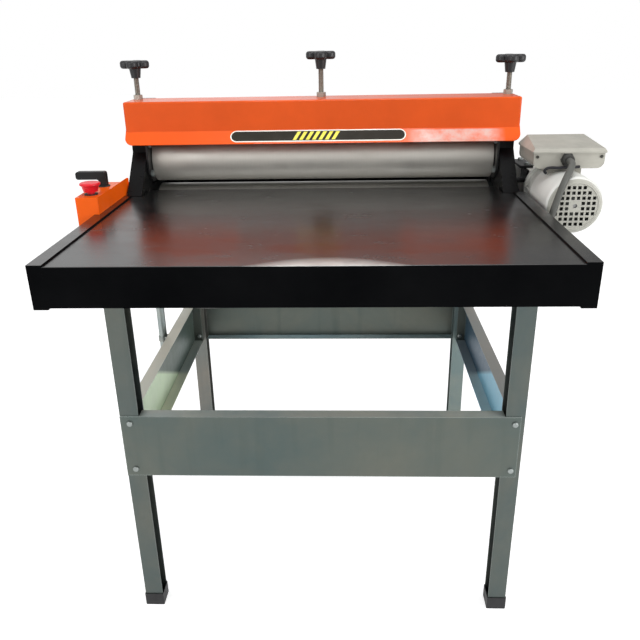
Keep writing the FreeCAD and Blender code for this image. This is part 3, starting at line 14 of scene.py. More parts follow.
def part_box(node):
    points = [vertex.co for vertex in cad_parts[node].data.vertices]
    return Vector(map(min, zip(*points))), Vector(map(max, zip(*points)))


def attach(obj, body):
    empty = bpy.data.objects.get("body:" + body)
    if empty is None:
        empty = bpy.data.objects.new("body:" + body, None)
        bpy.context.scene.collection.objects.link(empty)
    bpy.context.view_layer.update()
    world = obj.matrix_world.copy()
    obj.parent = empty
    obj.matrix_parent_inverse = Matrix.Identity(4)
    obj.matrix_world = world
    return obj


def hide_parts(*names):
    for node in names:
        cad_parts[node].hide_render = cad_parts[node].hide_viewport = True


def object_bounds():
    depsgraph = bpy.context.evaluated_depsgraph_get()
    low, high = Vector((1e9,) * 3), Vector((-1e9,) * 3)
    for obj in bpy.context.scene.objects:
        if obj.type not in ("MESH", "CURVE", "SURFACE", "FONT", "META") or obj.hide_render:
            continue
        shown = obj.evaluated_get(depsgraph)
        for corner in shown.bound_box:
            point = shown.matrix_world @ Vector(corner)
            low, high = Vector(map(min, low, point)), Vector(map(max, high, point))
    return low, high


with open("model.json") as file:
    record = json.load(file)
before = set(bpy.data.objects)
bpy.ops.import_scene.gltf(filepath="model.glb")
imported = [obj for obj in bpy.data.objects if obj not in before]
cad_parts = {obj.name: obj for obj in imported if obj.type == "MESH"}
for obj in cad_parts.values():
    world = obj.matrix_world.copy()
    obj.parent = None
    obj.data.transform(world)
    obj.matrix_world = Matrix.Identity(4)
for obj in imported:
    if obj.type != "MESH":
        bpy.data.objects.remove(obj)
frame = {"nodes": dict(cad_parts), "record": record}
cad_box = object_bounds()

NODES = frame["nodes"]
MM = 0.001


# ---------------------------------------------------------------- shader building
class Finish:
    """A material's node tree, with short calls for the nodes that the finishes share."""

    def __init__(self, name, metallic=0.0, specular=0.5, coat=0.0, coat_roughness=0.1):
        self.material = bpy.data.materials.new(name)
        self.material.use_nodes = True
        self.tree = self.material.node_tree
        self.surface = self.tree.nodes["Principled BSDF"]
        self.surface.inputs["Metallic"].default_value = metallic
        self.surface.inputs["Specular IOR Level"].default_value = specular
        self.surface.inputs["Coat Weight"].default_value = coat
        self.surface.inputs["Coat Roughness"].default_value = coat_roughness
        self.place = self.tree.nodes.new("ShaderNodeTexCoord").outputs["Object"]

    def node(self, kind, values=(), **settings):
        made = self.tree.nodes.new(kind)
        for key, value in settings.items():
            setattr(made, key, value)
        for key, value in dict(values).items():
            self.feed(made.inputs[key], value)
        return made

    def feed(self, socket, value):
        if isinstance(value, bpy.types.NodeSocket):
            self.tree.links.new(value, socket)
        else:
            socket.default_value = value

    def stretched(self, stretch):
        mapping = self.node("ShaderNodeMapping", {"Vector": self.place, "Scale": stretch})
        return mapping.outputs["Vector"]

    def noise(self, scale, detail=4.0, roughness=0.55, distortion=0.0, stretch=(1, 1, 1)):
        made = self.node("ShaderNodeTexNoise", {
            "Vector": self.stretched(stretch), "Scale": scale, "Detail": detail,
            "Roughness": roughness, "Distortion": distortion})
        return made.outputs["Fac"]

    def cells(self, scale):
        made = self.node("ShaderNodeTexVoronoi", {"Vector": self.place, "Scale": scale})
        return made.outputs["Color"]

    def grey(self, colour):
        return self.node("ShaderNodeSeparateColor", {"Color": colour}).outputs["Red"]

    def spread(self, value, low, high, to_low=0.0, to_high=1.0):
        made = self.node("ShaderNodeMapRange", {
            "Value": value, "From Min": low, "From Max": high,
            "To Min": to_low, "To Max": to_high})
        return made.outputs["Result"]

    def calc(self, operation, first, second=0.0):
        made = self.node("ShaderNodeMath", operation=operation)
        self.feed(made.inputs[0], first)
        self.feed(made.inputs[1], second)
        return made.outputs[0]

    def blend(self, factor, first, second):
        made = self.node("ShaderNodeMix", data_type="RGBA")
        self.feed(made.inputs["Factor"], factor)
        self.feed(made.inputs[6], rgba(first))
        self.feed(made.inputs[7], rgba(second))
        return made.outputs[2]

    def edges(self, radius, low=0.02, high=0.25):
        """1 on the part's sharp edges, 0 away from them."""
        rounded = self.node("ShaderNodeBevel", {"Radius": radius}, samples=4).outputs["Normal"]
        straight = self.node("ShaderNodeNewGeometry").outputs["Normal"]
        turn = self.node("ShaderNodeVectorMath", operation="DOT_PRODUCT")
        self.feed(turn.inputs[0], rounded)
        self.feed(turn.inputs[1], straight)
        return self.spread(self.calc("SUBTRACT", 1.0, turn.outputs["Value"]), low, high)

    def crevices(self, distance):
        """1 in the open, falling towards 0 in corners."""
        made = self.node("ShaderNodeAmbientOcclusion", {"Distance": distance}, samples=6)
        return made.outputs["AO"]

    def bump(self, height, distance, strength=1.0, normal=None):
        made = self.node("ShaderNodeBump", {
            "Height": height, "Distance": distance, "Strength": strength})
        if normal is not None:
            self.feed(made.inputs["Normal"], normal)
        return made.outputs["Normal"]

    def finish(self, colour, roughness, normal=None):
        self.feed(self.surface.inputs["Base Color"], rgba(colour))
        self.feed(self.surface.inputs["Roughness"], roughness)
        if normal is not None:
            self.feed(self.surface.inputs["Normal"], normal)
        return self.material


def rgba(colour):
    """A colour with its alpha; a socket passes through."""
    return colour if isinstance(colour, bpy.types.NodeSocket) else (*colour[:3], 1.0)


def srgb(red, green, blue):
    """Linear colour of an 8-bit display colour."""
    def linear(value):
        share = value / 255
        return share / 12.92 if share <= 0.04045 else ((share + 0.055) / 1.055) ** 2.4
    return linear(red), linear(green), linear(blue)


def tinted(shade, factors, strength=1.0):
    """A colour times a tint, the tint taken further or less far from neutral."""
    return tuple(min(1.0, part * (1 + (factor - 1) * strength))
                 for part, factor in zip(shade, factors))


# ---------------------------------------------------------------- finishes
def galvanised(name, shade, patch=5.0, contrast=1.0, metallic=0.85, fold=1.2 * MM, highlight_gain=2.6,
               painted_light=None):
    """Zinc-coated sheet: cloudy patches, faint spangle, vertical streaks, dull roughness, and a
    painted highlight along its folds and edges.

    The last argument is a function that lays painted light or shade, such as a lit patch or a
    highlight, over the cloudy colour.
    """
    made = Finish(name, metallic=metallic, specular=0.4)
    clouds = made.noise(patch, detail=5.0, roughness=0.6, distortion=0.6)
    streaks = made.noise(3.0, detail=3.0, stretch=(9, 9, 0.7))
    spangle = made.grey(made.cells(90.0))
    green = tinted(shade, (0.87, 0.95, 0.97), contrast)
    warm = tinted(shade, (1.24, 1.16, 1.08), contrast)
    dark = tinted(shade, (0.72, 0.80, 0.80), contrast)
    colour = made.blend(made.spread(clouds, 0.35, 0.68), green, warm)
    colour = made.blend(made.spread(streaks, 0.55, 0.85, 0.0, 0.45), colour, dark)
    colour = made.blend(made.spread(spangle, 0.0, 1.0, 0.0, 0.10), colour, warm)
    if painted_light:
        colour = painted_light(made, colour)
    # painted highlight: paler along the folds and sharp edges
    fold_highlight = made.calc("MULTIPLY", made.edges(fold), made.spread(clouds, 0.3, 0.7, 0.3, 1.0))
    colour = made.blend(fold_highlight, colour, tuple(min(1.0, part * highlight_gain) for part in shade))
    roughness = made.spread(made.calc("ADD", clouds, made.calc("MULTIPLY", spangle, 0.2)),
                            0.3, 1.0, 0.34, 0.56)
    height = made.calc("ADD", made.noise(220.0, detail=2.0),
                       made.calc("MULTIPLY", made.noise(14.0, detail=3.0), 3.0))
    return made.finish(colour, roughness, made.bump(height, 0.15 * MM, 0.35))


CHIP_METAL = (0.35, 0.34, 0.32)         # bare steel under the enamel's chips
CORNER_DUST = (0.30, 0.28, 0.25)


def paint(name, shade, roughness, specular=0.5, coat=0.0, peel=0.35, dust=0.05, chip=0.5,
          painted_light=None):
    """Sprayed enamel: orange peel, faint mottling, dust in corners, chips along edges.

    The last argument is a function that lays painted light or shade, such as a painted sheen or a
    painted highlight, over the mottled colour.
    """
    made = Finish(name, specular=specular, coat=coat, coat_roughness=0.08)
    mottle = made.noise(7.0, detail=5.0, roughness=0.6)
    deep = tuple(part * 0.90 for part in shade)
    pale = tuple(min(1.0, part * 1.08 + 0.002) for part in shade)
    colour = made.blend(made.spread(mottle, 0.3, 0.7), deep, pale)
    if painted_light:
        colour = painted_light(made, colour)
    corner = made.spread(made.crevices(18 * MM), 0.25, 0.8, dust, 0.0)
    colour = made.blend(corner, colour, CORNER_DUST)
    breaks = made.spread(made.noise(420.0, detail=3.0, roughness=0.7), 0.60, 0.66)
    chips = made.calc("MULTIPLY", made.edges(0.9 * MM, 0.05, 0.3), breaks)
    colour = made.blend(made.calc("MULTIPLY", chips, chip), colour, CHIP_METAL)
    smear = made.noise(11.0, detail=6.0, roughness=0.65, stretch=(1, 2.2, 1))
    dull = made.spread(smear, 0.3, 0.75, roughness * 0.85, roughness * 1.35)
    grain = made.noise(900.0, detail=2.0)
    ripple = made.noise(160.0, detail=1.0)
    height = made.calc("ADD", grain, made.calc("MULTIPLY", ripple, 2.0))
    return made.finish(colour, dull, made.bump(height, 0.05 * MM, peel))


# painted sheen on part of the guard's lower band, and painted shade above its fold
SHEEN_START = 150.0 * MM         # along the guard's lower band
SHEEN_END = 364.0 * MM
SHEEN_FADE = 34.0 * MM
GUARD_FOLD_Z = 1063.0 * MM
SHEEN_EDGE = 3.0 * MM
SHEEN_BACK = (-69.9 * MM, -69.0 * MM)    # Y over which the painted sheen ends behind the band
SHEEN_TONE = srgb(220, 192, 184)
FOLD_SHADE_BLUR = 2.0 * MM
ABOVE_FOLD_SHADE = (0.84, 0.84, 0.90)         # painted shade: what the orange above the fold is multiplied by


def band_sheen_and_shade(made, colour):
    """Painted shade: deeper orange above the guard's fold; painted sheen: a cloudy pale
    reflection over part of the band below.
    """
    axes = made.node("ShaderNodeSeparateXYZ", {"Vector": made.place}).outputs
    start = made.spread(axes["X"], SHEEN_START, SHEEN_START + SHEEN_FADE)
    end = made.spread(axes["X"], SHEEN_END - SHEEN_FADE, SHEEN_END, 1.0, 0.0)
    below = made.spread(axes["Z"], GUARD_FOLD_Z - SHEEN_EDGE, GUARD_FOLD_Z, 1.0, 0.0)
    front = made.spread(axes["Y"], *SHEEN_BACK, 1.0, 0.0)
    cloud = made.spread(made.noise(38.0, detail=6.0, roughness=0.6), 0.30, 0.62, 0.25, 0.9)
    sheen_mask = made.calc("MULTIPLY", made.calc("MULTIPLY", start, end),
                     made.calc("MULTIPLY", made.calc("MULTIPLY", below, front), cloud))
    # painted shade above the fold
    fold_shade_share = made.spread(axes["Z"], GUARD_FOLD_Z - FOLD_SHADE_BLUR, GUARD_FOLD_Z + FOLD_SHADE_BLUR)
    shaded_above_fold = made.node("ShaderNodeMix", data_type="RGBA", blend_type="MULTIPLY")
    made.feed(shaded_above_fold.inputs["Factor"], fold_shade_share)
    made.feed(shaded_above_fold.inputs[6], colour)
    made.feed(shaded_above_fold.inputs[7], rgba(ABOVE_FOLD_SHADE))
    return made.blend(sheen_mask, shaded_above_fold.outputs[2], SHEEN_TONE)


def turned_steel(name, shade, roughness, along="X", metallic=0.9, lines=1.0):
    """Ground or turned steel: fine lines around the axis, handling smears, small marks."""
    made = Finish(name, metallic=metallic, specular=0.5)
    stretch = {"X": (60, 1, 1), "Y": (1, 60, 1), "Z": (1, 1, 60)}[along]
    scratch = made.noise(24.0, detail=4.0, stretch=stretch)
    smears = made.noise(9.0, detail=5.0, roughness=0.6, distortion=0.4)
    pale = tuple(min(1.0, part * (1 + 0.12 * lines)) for part in shade)
    deep = tuple(part * (1 - 0.16 * lines) for part in shade)
    colour = made.blend(made.spread(scratch, 0.35, 0.65), deep, pale)
    stain = tuple(part * k for part, k in zip(shade, (0.74, 0.70, 0.62)))
    colour = made.blend(made.spread(smears, 0.55, 0.80, 0.0, 0.55 * lines), colour, stain)
    dull = made.spread(made.calc("ADD", smears, made.calc("MULTIPLY", scratch, 0.5)),
                       0.4, 1.0, roughness * 0.75, roughness * 1.4)
    return made.finish(colour, dull, made.bump(scratch, 0.04 * MM, 0.5 * lines))


def moulded(name, shade, roughness, grain=0.3, specular=0.4, wear=0.12):
    """Moulded plastic: fine grain, uneven sheen, slightly polished edges."""
    made = Finish(name, specular=specular)
    tone = made.noise(26.0, detail=4.0)
    pale = tuple(min(1.0, part * 1.25 + 0.004) for part in shade)
    colour = made.blend(made.spread(tone, 0.3, 0.7, 0.0, 0.8), shade, pale)
    scuffed = made.calc("MULTIPLY", made.edges(0.8 * MM), wear)
    colour = made.blend(scuffed, colour, tuple(min(1.0, part * 2.2 + 0.05) for part in shade))
    dull = made.spread(made.noise(40.0, detail=5.0), 0.3, 0.75, roughness * 0.85, roughness * 1.3)
    return made.finish(colour, dull, made.bump(made.noise(1400.0, detail=2.0), 0.06 * MM, grain))


def cast(name, shade, roughness, metallic=0.0, grain=0.8, specular=0.35, mottle=0.22):
    """Sand or die casting: rough skin, soft blotches, rubbed edges, painted shade in corners."""
    made = Finish(name, metallic=metallic, specular=specular)
    blotch = made.noise(30.0, detail=5.0, roughness=0.65)
    deep = tuple(part * (1 - mottle) for part in shade)
    pale = tuple(min(1.0, part * (1 + mottle)) for part in shade)
    colour = made.blend(made.spread(blotch, 0.3, 0.7), deep, pale)
    rubbed = made.calc("MULTIPLY", made.edges(1.0 * MM), 0.45)
    colour = made.blend(rubbed, colour, tuple(min(1.0, part * 2.0 + 0.03) for part in shade))
    # painted shade: darker in corners and recesses, found by ambient occlusion
    corner_shade = made.spread(made.crevices(12 * MM), 0.2, 0.8, 0.5, 0.0)
    colour = made.blend(corner_shade, colour, tuple(part * 0.35 for part in shade))
    dull = made.spread(blotch, 0.3, 0.7, roughness * 0.85, roughness * 1.25)
    skin = made.calc("ADD", made.noise(500.0, detail=3.0), made.noise(120.0, detail=2.0))
    return made.finish(colour, dull, made.bump(skin, 0.12 * MM, grain))


TABLE_SHADE = (0.0040, 0.0040, 0.0042)
FINISHES = {
    "galvanised_steel": galvanised("galvanised_leg", srgb(84, 90, 88), contrast=1.2),
    "galvanised_beam": galvanised("galvanised_beam", srgb(86, 92, 89), patch=2.6,
                                  contrast=1.5, fold=3.5 * MM, highlight_gain=3.4),
    "conduit_steel": galvanised("galvanised_pipe", srgb(142, 150, 150), patch=9.0),
    "clip_steel": galvanised("galvanised_clip", srgb(130, 134, 132), patch=20.0),
    "table_black": paint("table_enamel", TABLE_SHADE, 0.22, specular=0.75,
                         peel=0.45, dust=0.0, chip=0.25),
    "frame_black": paint("frame_enamel", (0.0030, 0.0030, 0.0033), 0.26, specular=0.10,
                         peel=0.5, dust=0.01),
    "casting_black": cast("casting_paint", (0.0060, 0.0060, 0.0065), 0.40),
    "orange_paint": paint("orange_enamel", srgb(240, 90, 10), 0.32, specular=0.12,
                          coat=0.35, peel=0.35, dust=0.02, chip=0.25, painted_light=band_sheen_and_shade),
    "orange_box": paint("orange_enamel_box", srgb(244, 96, 0), 0.32, specular=0.06, coat=0.3,
                        peel=0.35, dust=0.02, chip=0.25),
    "roller_steel": turned_steel("roller_steel", srgb(190, 187, 180), 0.48, lines=0.3),
    "support_steel": turned_steel("support_steel", srgb(84, 84, 82), 0.40),
    "screw_steel": turned_steel("screw_steel", srgb(150, 146, 138), 0.36, along="Z"),
    "bearing_steel": turned_steel("bearing_steel", srgb(196, 196, 194), 0.22),
    "zinc_bolts": turned_steel("zinc_bolts", srgb(146, 152, 150), 0.42, along="Y"),
    "hood_nuts": turned_steel("nut_zinc", srgb(170, 166, 156), 0.32, along="Z"),
    "worm_steel": turned_steel("worm_steel", srgb(170, 170, 168), 0.25, along="Y"),
    "rotor_core": turned_steel("rotor_core", srgb(150, 150, 148), 0.35, along="Y"),
    "wheel_bronze": turned_steel("wheel_bronze", srgb(196, 154, 84), 0.30),
    "foot_plastic": moulded("foot_plastic", (0.010, 0.010, 0.011), 0.55, grain=0.6),
    "knob_plastic": moulded("knob_plastic", (0.010, 0.010, 0.011), 0.38, grain=0.25),
    "estop_red": moulded("estop_red", srgb(212, 24, 40), 0.30, grain=0.15, wear=0.25,
                         specular=0.3),
    "switch_plastic": moulded("switch_plastic", (0.012, 0.012, 0.013), 0.50, grain=0.4),
    "switch_handle_black": moulded("switch_handle", (0.006, 0.007, 0.007), 0.36, specular=0.2),
    "cable_black": moulded("cable_sheath", srgb(78, 79, 75), 0.55, grain=0.5),
    "gland_plastic": moulded("gland_plastic", srgb(52, 52, 50), 0.50, specular=0.25),
    "fan_plastic": moulded("fan_plastic", (0.075, 0.078, 0.072), 0.50),
    "terminal_plastic": moulded("terminal_plastic", srgb(162, 160, 151), 0.42, grain=0.5,
                                specular=0.3, wear=0.05),
    "gearbox_cast": cast("gearbox_casting", srgb(206, 206, 200), 0.40, metallic=0.15),
    "motor_paint": cast("motor_enamel", srgb(224, 225, 220), 0.32, grain=0.2, specular=0.5,
                        mottle=0.05),
    "fan_cover_paint": cast("fan_cover_enamel", srgb(172, 171, 162), 0.34, grain=0.2,
                            specular=0.4, mottle=0.08),
    "stator_core": cast("stator_core", srgb(110, 100, 92), 0.55),
}


def dress_nodes():
    """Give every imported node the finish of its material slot."""
    slots = {part["node"]: part["material_slot"] for part in frame["record"]["subparts"]}
    for name, node in NODES.items():
        node.data.materials.clear()
        node.data.materials.append(FINISHES[slots[name]])


dress_nodes()


# ---------------------------------------------------------------- piece building
def place_piece(name, mesh, body, slot, finish=None, smooth_angle=math.radians(35)):
    """Turn a bmesh into a piece: linked, shaded, dressed, and riding on its body."""
    bmesh.ops.recalc_face_normals(mesh, faces=mesh.faces)
    data = bpy.data.meshes.new(name)
    mesh.to_mesh(data)
    mesh.free()
    piece = bpy.data.objects.new(name, data)
    bpy.context.scene.collection.objects.link(piece)
    data.shade_smooth()
    data.set_sharp_from_angle(angle=smooth_angle)
    data.materials.append(finish or FINISHES[slot])
    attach(piece, body)
    return piece


def add_lathe(mesh, profile, centre, axis, steps=48, closed=False):
    """Turn a profile of (radius, height) about an axis; a closed profile makes a ring."""
    turn = Vector((0, 0, 1)).rotation_difference(Vector(axis)).to_matrix()
    rings = []
    for radius, height in profile:
        if radius < 1e-6:
            rings.append([mesh.verts.new(Vector(centre) + turn @ Vector((0, 0, height)))])
            continue
        ring = []
        for step in range(steps):
            angle = 2 * math.pi * step / steps
            point = Vector((radius * math.cos(angle), radius * math.sin(angle), height))
            ring.append(mesh.verts.new(Vector(centre) + turn @ point))
        rings.append(ring)
    for low, high in zip(rings, rings[1:] + rings[:1] if closed else rings[1:]):
        for step in range(steps):
            ahead = (step + 1) % steps
            if len(low) == 1:
                mesh.faces.new((low[0], high[step], high[ahead]))
            elif len(high) == 1:
                mesh.faces.new((low[step], high[0], low[ahead]))
            else:
                mesh.faces.new((low[step], high[step], high[ahead], low[ahead]))
    if closed:
        return
    for ring, in_order in ((rings[0], False), (rings[-1], True)):
        if len(ring) > 1:
            mesh.faces.new(ring if in_order else ring[::-1])


def add_prism(mesh, outline, depth):
    """A closed flat outline pushed along a vector."""
    low = [mesh.verts.new(point) for point in outline]
    high = [mesh.verts.new(Vector(point) + Vector(depth)) for point in outline]
    count = len(outline)
    mesh.faces.new(low[::-1])
    mesh.faces.new(high)
    for step in range(count):
        ahead = (step + 1) % count
        mesh.faces.new((low[step], low[ahead], high[ahead], high[step]))


def add_block(mesh, low, high, bevel=0.0):
    """A block between two corners, its edges rounded."""
    made = bmesh.ops.create_cube(mesh, size=1.0)
    size = Vector(high) - Vector(low)
    centre = (Vector(high) + Vector(low)) / 2
    for vert in made["verts"]:
        vert.co = centre + Vector(a * b for a, b in zip(vert.co, size))
    if bevel:
        edges = {edge for vert in made["verts"] for edge in vert.link_edges}
        bmesh.ops.bevel(mesh, geom=list(edges), offset=bevel, segments=3, affect="EDGES",
                        profile=0.5)


def tube_along(name, points, diameter, body, slot, finish=None):
    """A round bar or lead along a smooth line through control points."""
    curve = bpy.data.curves.new(name, "CURVE")
    curve.dimensions = "3D"
    curve.bevel_depth = diameter / 2
    curve.bevel_resolution = 4
    curve.use_fill_caps = True
    line = curve.splines.new("NURBS")
    line.points.add(len(points) - 1)
    for point, place in zip(line.points, points):
        point.co = (*place, 1.0)
    line.order_u = 3
    line.use_endpoint_u = True
    line.resolution_u = 6
    piece = bpy.data.objects.new(name, curve)
    bpy.context.scene.collection.objects.link(piece)
    curve.materials.append(finish or FINISHES[slot])
    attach(piece, body)
    return piece


# ---------------------------------------------------------------- tables and side beams
HIGHLIGHT_X = -12.0 * MM             # middle of the painted highlight at the infeed edge of the front table
HIGHLIGHT_HALF = 132.0 * MM
HIGHLIGHT_DEPTH = 44.0 * MM
HIGHLIGHT_FADE = 34.0 * MM           # from nothing to its full share
HIGHLIGHT_SHARE = 0.8
HIGHLIGHT_TONE = (0.68, 0.67, 0.64)


def infeed_highlight(made, colour):
    """Painted highlight: a shallow pale arc at the middle of the front table's outer edge."""
    axes = made.node("ShaderNodeSeparateXYZ", {"Vector": made.place}).outputs
    aside = made.calc("DIVIDE", made.calc("SUBTRACT", axes["X"], HIGHLIGHT_X), HIGHLIGHT_HALF)
    arc = made.calc("SUBTRACT", 1.0, made.calc("MULTIPLY", aside, aside))
    reach = made.calc("MULTIPLY", arc, HIGHLIGHT_DEPTH)
    depth = made.calc("SUBTRACT", made.calc("ADD", reach, cad_box[0][1]), axes["Y"])
    cloud = made.spread(made.noise(40.0, detail=4.0), 0.3, 0.6, 0.75, 1.0)
    share = made.calc("MULTIPLY", made.spread(depth, 0.0, HIGHLIGHT_FADE, 0.0, HIGHLIGHT_SHARE), cloud)
    return made.blend(share, colour, HIGHLIGHT_TONE)


# the front table's level faces carry the painted highlight at the infeed edge
TABLE_FRONT = paint("table_enamel_front", TABLE_SHADE, 0.22, specular=0.85, peel=0.15,
                    dust=0.0, chip=0.25, painted_light=infeed_highlight)
# painted shade: a darker, nearly unreflecting copy of the table enamel for the upright faces of
# the tables and rails
UPRIGHT_BLACK_SHADED = paint("upright_enamel_shaded", (0.0016, 0.0018, 0.0022), 0.34, specular=0.015,
                      peel=0.4, dust=0.0, chip=0.1)
LEVEL_FACE = 0.5                # least part of a face's normal along the side that it counts for
LOW_FLANGE = 450.0 * MM         # level faces of the lower beams below this are bottom flanges
LIT_PATCH_HEIGHT = 431.0 * MM  # painted pool of light: the side beams are paler below this height at y = 0 ...
LIT_PATCH_SLOPE = 0.52         # ... which falls by this share towards the rear
LIT_PATCH_BLUR = 6.0 * MM
LIT_PATCH_SHARE = 0.85


def lit_patch(tone):
    """Painted pool of light on the paler front ends of the lower side beams."""
    def painted_light(made, colour):
        axes = made.node("ShaderNodeSeparateXYZ", {"Vector": made.place}).outputs
        level = made.calc("ADD", axes["Z"], made.calc("MULTIPLY", axes["Y"], LIT_PATCH_SLOPE))
        share = made.spread(level, LIT_PATCH_HEIGHT - LIT_PATCH_BLUR,
                            LIT_PATCH_HEIGHT + LIT_PATCH_BLUR, LIT_PATCH_SHARE, 0.0)
        cloud = made.spread(made.noise(9.0, detail=3.0), 0.3, 0.7, 0.8, 1.0)
        return made.blend(made.calc("MULTIPLY", share, cloud), colour, tone)
    return painted_light


# Lit and shaded copies of the beam zinc for the inner webs (painted light): the left web lighter
# and greener, the right web darker and bluer, each with a painted pool of light at its front end,
# sky blue on the right.
BEAM_LEFT_LIT = galvanised("galvanised_beam_left_lit", srgb(84, 98, 92), patch=3.0, contrast=1.2,
                       metallic=0.30, painted_light=lit_patch(srgb(218, 238, 204)))
BEAM_RIGHT_SHADED = galvanised("galvanised_beam_right_shaded", srgb(58, 88, 110), patch=3.6, contrast=0.8,
                        metallic=0.20, painted_light=lit_patch(srgb(150, 214, 240)))
# Lit copies for the level faces of the lower beams (painted light): top and bottom flanges paler
# than the webs, the bottom flanges with a painted pool of light at the front.
LOW_LEFT_LIT = galvanised("galvanised_low_left_lit", srgb(196, 204, 200), patch=3.0, contrast=0.6,
                      metallic=0.1, painted_light=lit_patch(srgb(255, 255, 232)))
LOW_RIGHT_LIT = galvanised("galvanised_low_right_lit", srgb(176, 190, 200), patch=3.0, contrast=0.6,
                       metallic=0.1, painted_light=lit_patch(srgb(236, 255, 255)))
FLANGE_LEFT_LIT = galvanised("galvanised_flange_left_lit", srgb(222, 219, 206), patch=3.0,
                         metallic=0.2, contrast=0.6)
FLANGE_RIGHT_LIT = galvanised("galvanised_flange_right_lit", srgb(172, 170, 166), patch=3.0,
                          metallic=0.2, contrast=0.8)
FLANGE_FRONT_LIT = galvanised("galvanised_flange_front_lit", srgb(182, 186, 182), patch=2.6,
                          metallic=0.2, contrast=1.8)
FLANGE_REAR_LIT = galvanised("galvanised_flange_rear_lit", srgb(190, 216, 226), patch=2.6,
                         metallic=0.1, contrast=1.2)
# lit copies for the front faces of the rear legs, paler than their other faces, the right one
# bluer (painted light)
REAR_LEG_LIT_FRONTS = {"leg_rear_left": srgb(116, 115, 111), "leg_rear_right": srgb(116, 126, 124)}


def dress_sheet(node, finishes, choose):
    """Stand-in for a node whose faces get several materials, in most uses lit and shaded copies
    of one finish that paint light and shade: choose gives a face's number.
    """
    source = NODES[node]
    data = source.data.copy()
    data.name = node + "_sheet"
    data.materials.clear()
    for finish in finishes:
        data.materials.append(finish)
    for face in data.polygons:
        face.material_index = choose(face)
    piece = bpy.data.objects.new(data.name, data)
    bpy.context.scene.collection.objects.link(piece)
    piece.matrix_world = source.matrix_world.copy()
    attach(piece, "frame")
    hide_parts(node)


def is_level(face):
    """0 for a level face, 1 for the others."""
    return 0 if face.normal.z > LEVEL_FACE else 1


def is_front(face):
    """0 for a face turned to the front, 1 for the others."""
    return 0 if face.normal.y < -LEVEL_FACE else 1


def inside_of(inward):
    """Numbers for a side beam: top flange, bottom flange, web inside, the rest."""
    def choose(face):
        if face.normal.z > LEVEL_FACE:
            return 1 if face.center.z < LOW_FLANGE else 0
        return 2 if face.normal.x * inward > LEVEL_FACE else 3
    return choose


ZINC = FINISHES["galvanised_beam"]
dress_sheet("front_table", (TABLE_FRONT, UPRIGHT_BLACK_SHADED), is_level)
for node in ("rear_table", "side_rails"):
    dress_sheet(node, (FINISHES["table_black"], UPRIGHT_BLACK_SHADED), is_level)
dress_sheet("beam_lower_left", (FLANGE_LEFT_LIT, LOW_LEFT_LIT, BEAM_LEFT_LIT, ZINC),
            inside_of(1))
dress_sheet("beam_lower_right", (FLANGE_RIGHT_LIT, LOW_RIGHT_LIT, BEAM_RIGHT_SHADED, ZINC),
            inside_of(-1))
dress_sheet("beam_lower_front", (FLANGE_FRONT_LIT, ZINC), is_level)
dress_sheet("beam_lower_rear", (FLANGE_REAR_LIT, ZINC), is_level)
for node, shade in REAR_LEG_LIT_FRONTS.items():
    front = galvanised("galvanised_" + node, shade, contrast=1.2)
    dress_sheet(node, (front, ZINC), is_front)
# painted shade: a darker copy of the roller steel for the lower roller, which sits under the
# table
NODES["lower_roller"].data.materials[0] = turned_steel("lower_roller_steel_shaded", srgb(150, 149, 145),
                                                       0.34, lines=0.5)


# ---------------------------------------------------------------- pressure screws
THREAD_PITCH = 1.75 * MM
THREAD_DEPTH = 0.95 * MM
THREAD_RINGS = 6                # rings of points per turn
THREAD_STEPS = 20               # points per ring
SCREW_R = 6.0 * MM
SCREW_FEET = {"left": 8 * MM, "centre": 4 * MM, "right": 8 * MM}
FOOT_CHAMFER = 0.6 * MM
FOOT_PLAY = 0.05 * MM           # the foot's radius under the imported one
FOOT_LAP = 0.5 * MM             # the thread starts this far inside the foot


def threaded_screw(place, foot_height):
    """Metric screw with a helical thread above its foot."""
    node = "pressure_screw_" + place
    low, high = (Vector(corner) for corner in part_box(node))
    middle = (low + high) / 2
    foot_r = (high.x - low.x) / 2 - FOOT_PLAY
    bars = bmesh.new()
    foot = [(foot_r - FOOT_CHAMFER, 0), (foot_r, FOOT_CHAMFER),
            (foot_r, foot_height - FOOT_CHAMFER), (foot_r - FOOT_CHAMFER, foot_height)]
    add_lathe(bars, foot, (middle.x, middle.y, low.z), (0, 0, 1))
    start = low.z + foot_height - FOOT_LAP
    rings = []
    count = int((high.z - start) / THREAD_PITCH * THREAD_RINGS)
    for level in range(count + 1):
        z = start + level * THREAD_PITCH / THREAD_RINGS
        ring = []
        for step in range(THREAD_STEPS):
            turn = step / THREAD_STEPS
            phase = ((z - start) / THREAD_PITCH - turn) % 1.0
            groove = 1 - abs(2 * phase - 1)
            radius = SCREW_R - THREAD_DEPTH * min(1.0, max(0.0, 1.25 * groove - 0.12))
            angle = 2 * math.pi * turn
            ring.append(bars.verts.new((middle.x + radius * math.cos(angle),
                                        middle.y + radius * math.sin(angle), z)))
        rings.append(ring)
    for below, above in zip(rings, rings[1:]):
        for step in range(THREAD_STEPS):
            ahead = (step + 1) % THREAD_STEPS
            bars.faces.new((below[step], below[ahead], above[ahead], above[step]))
    bars.faces.new(rings[0][::-1])
    bars.faces.new(rings[-1])
    piece = place_piece("threaded_screw_" + place, bars, "screw_" + place, "screw_steel",
                        smooth_angle=math.radians(50))
    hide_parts(node)


for place, foot_height in SCREW_FEET.items():
    threaded_screw(place, foot_height)


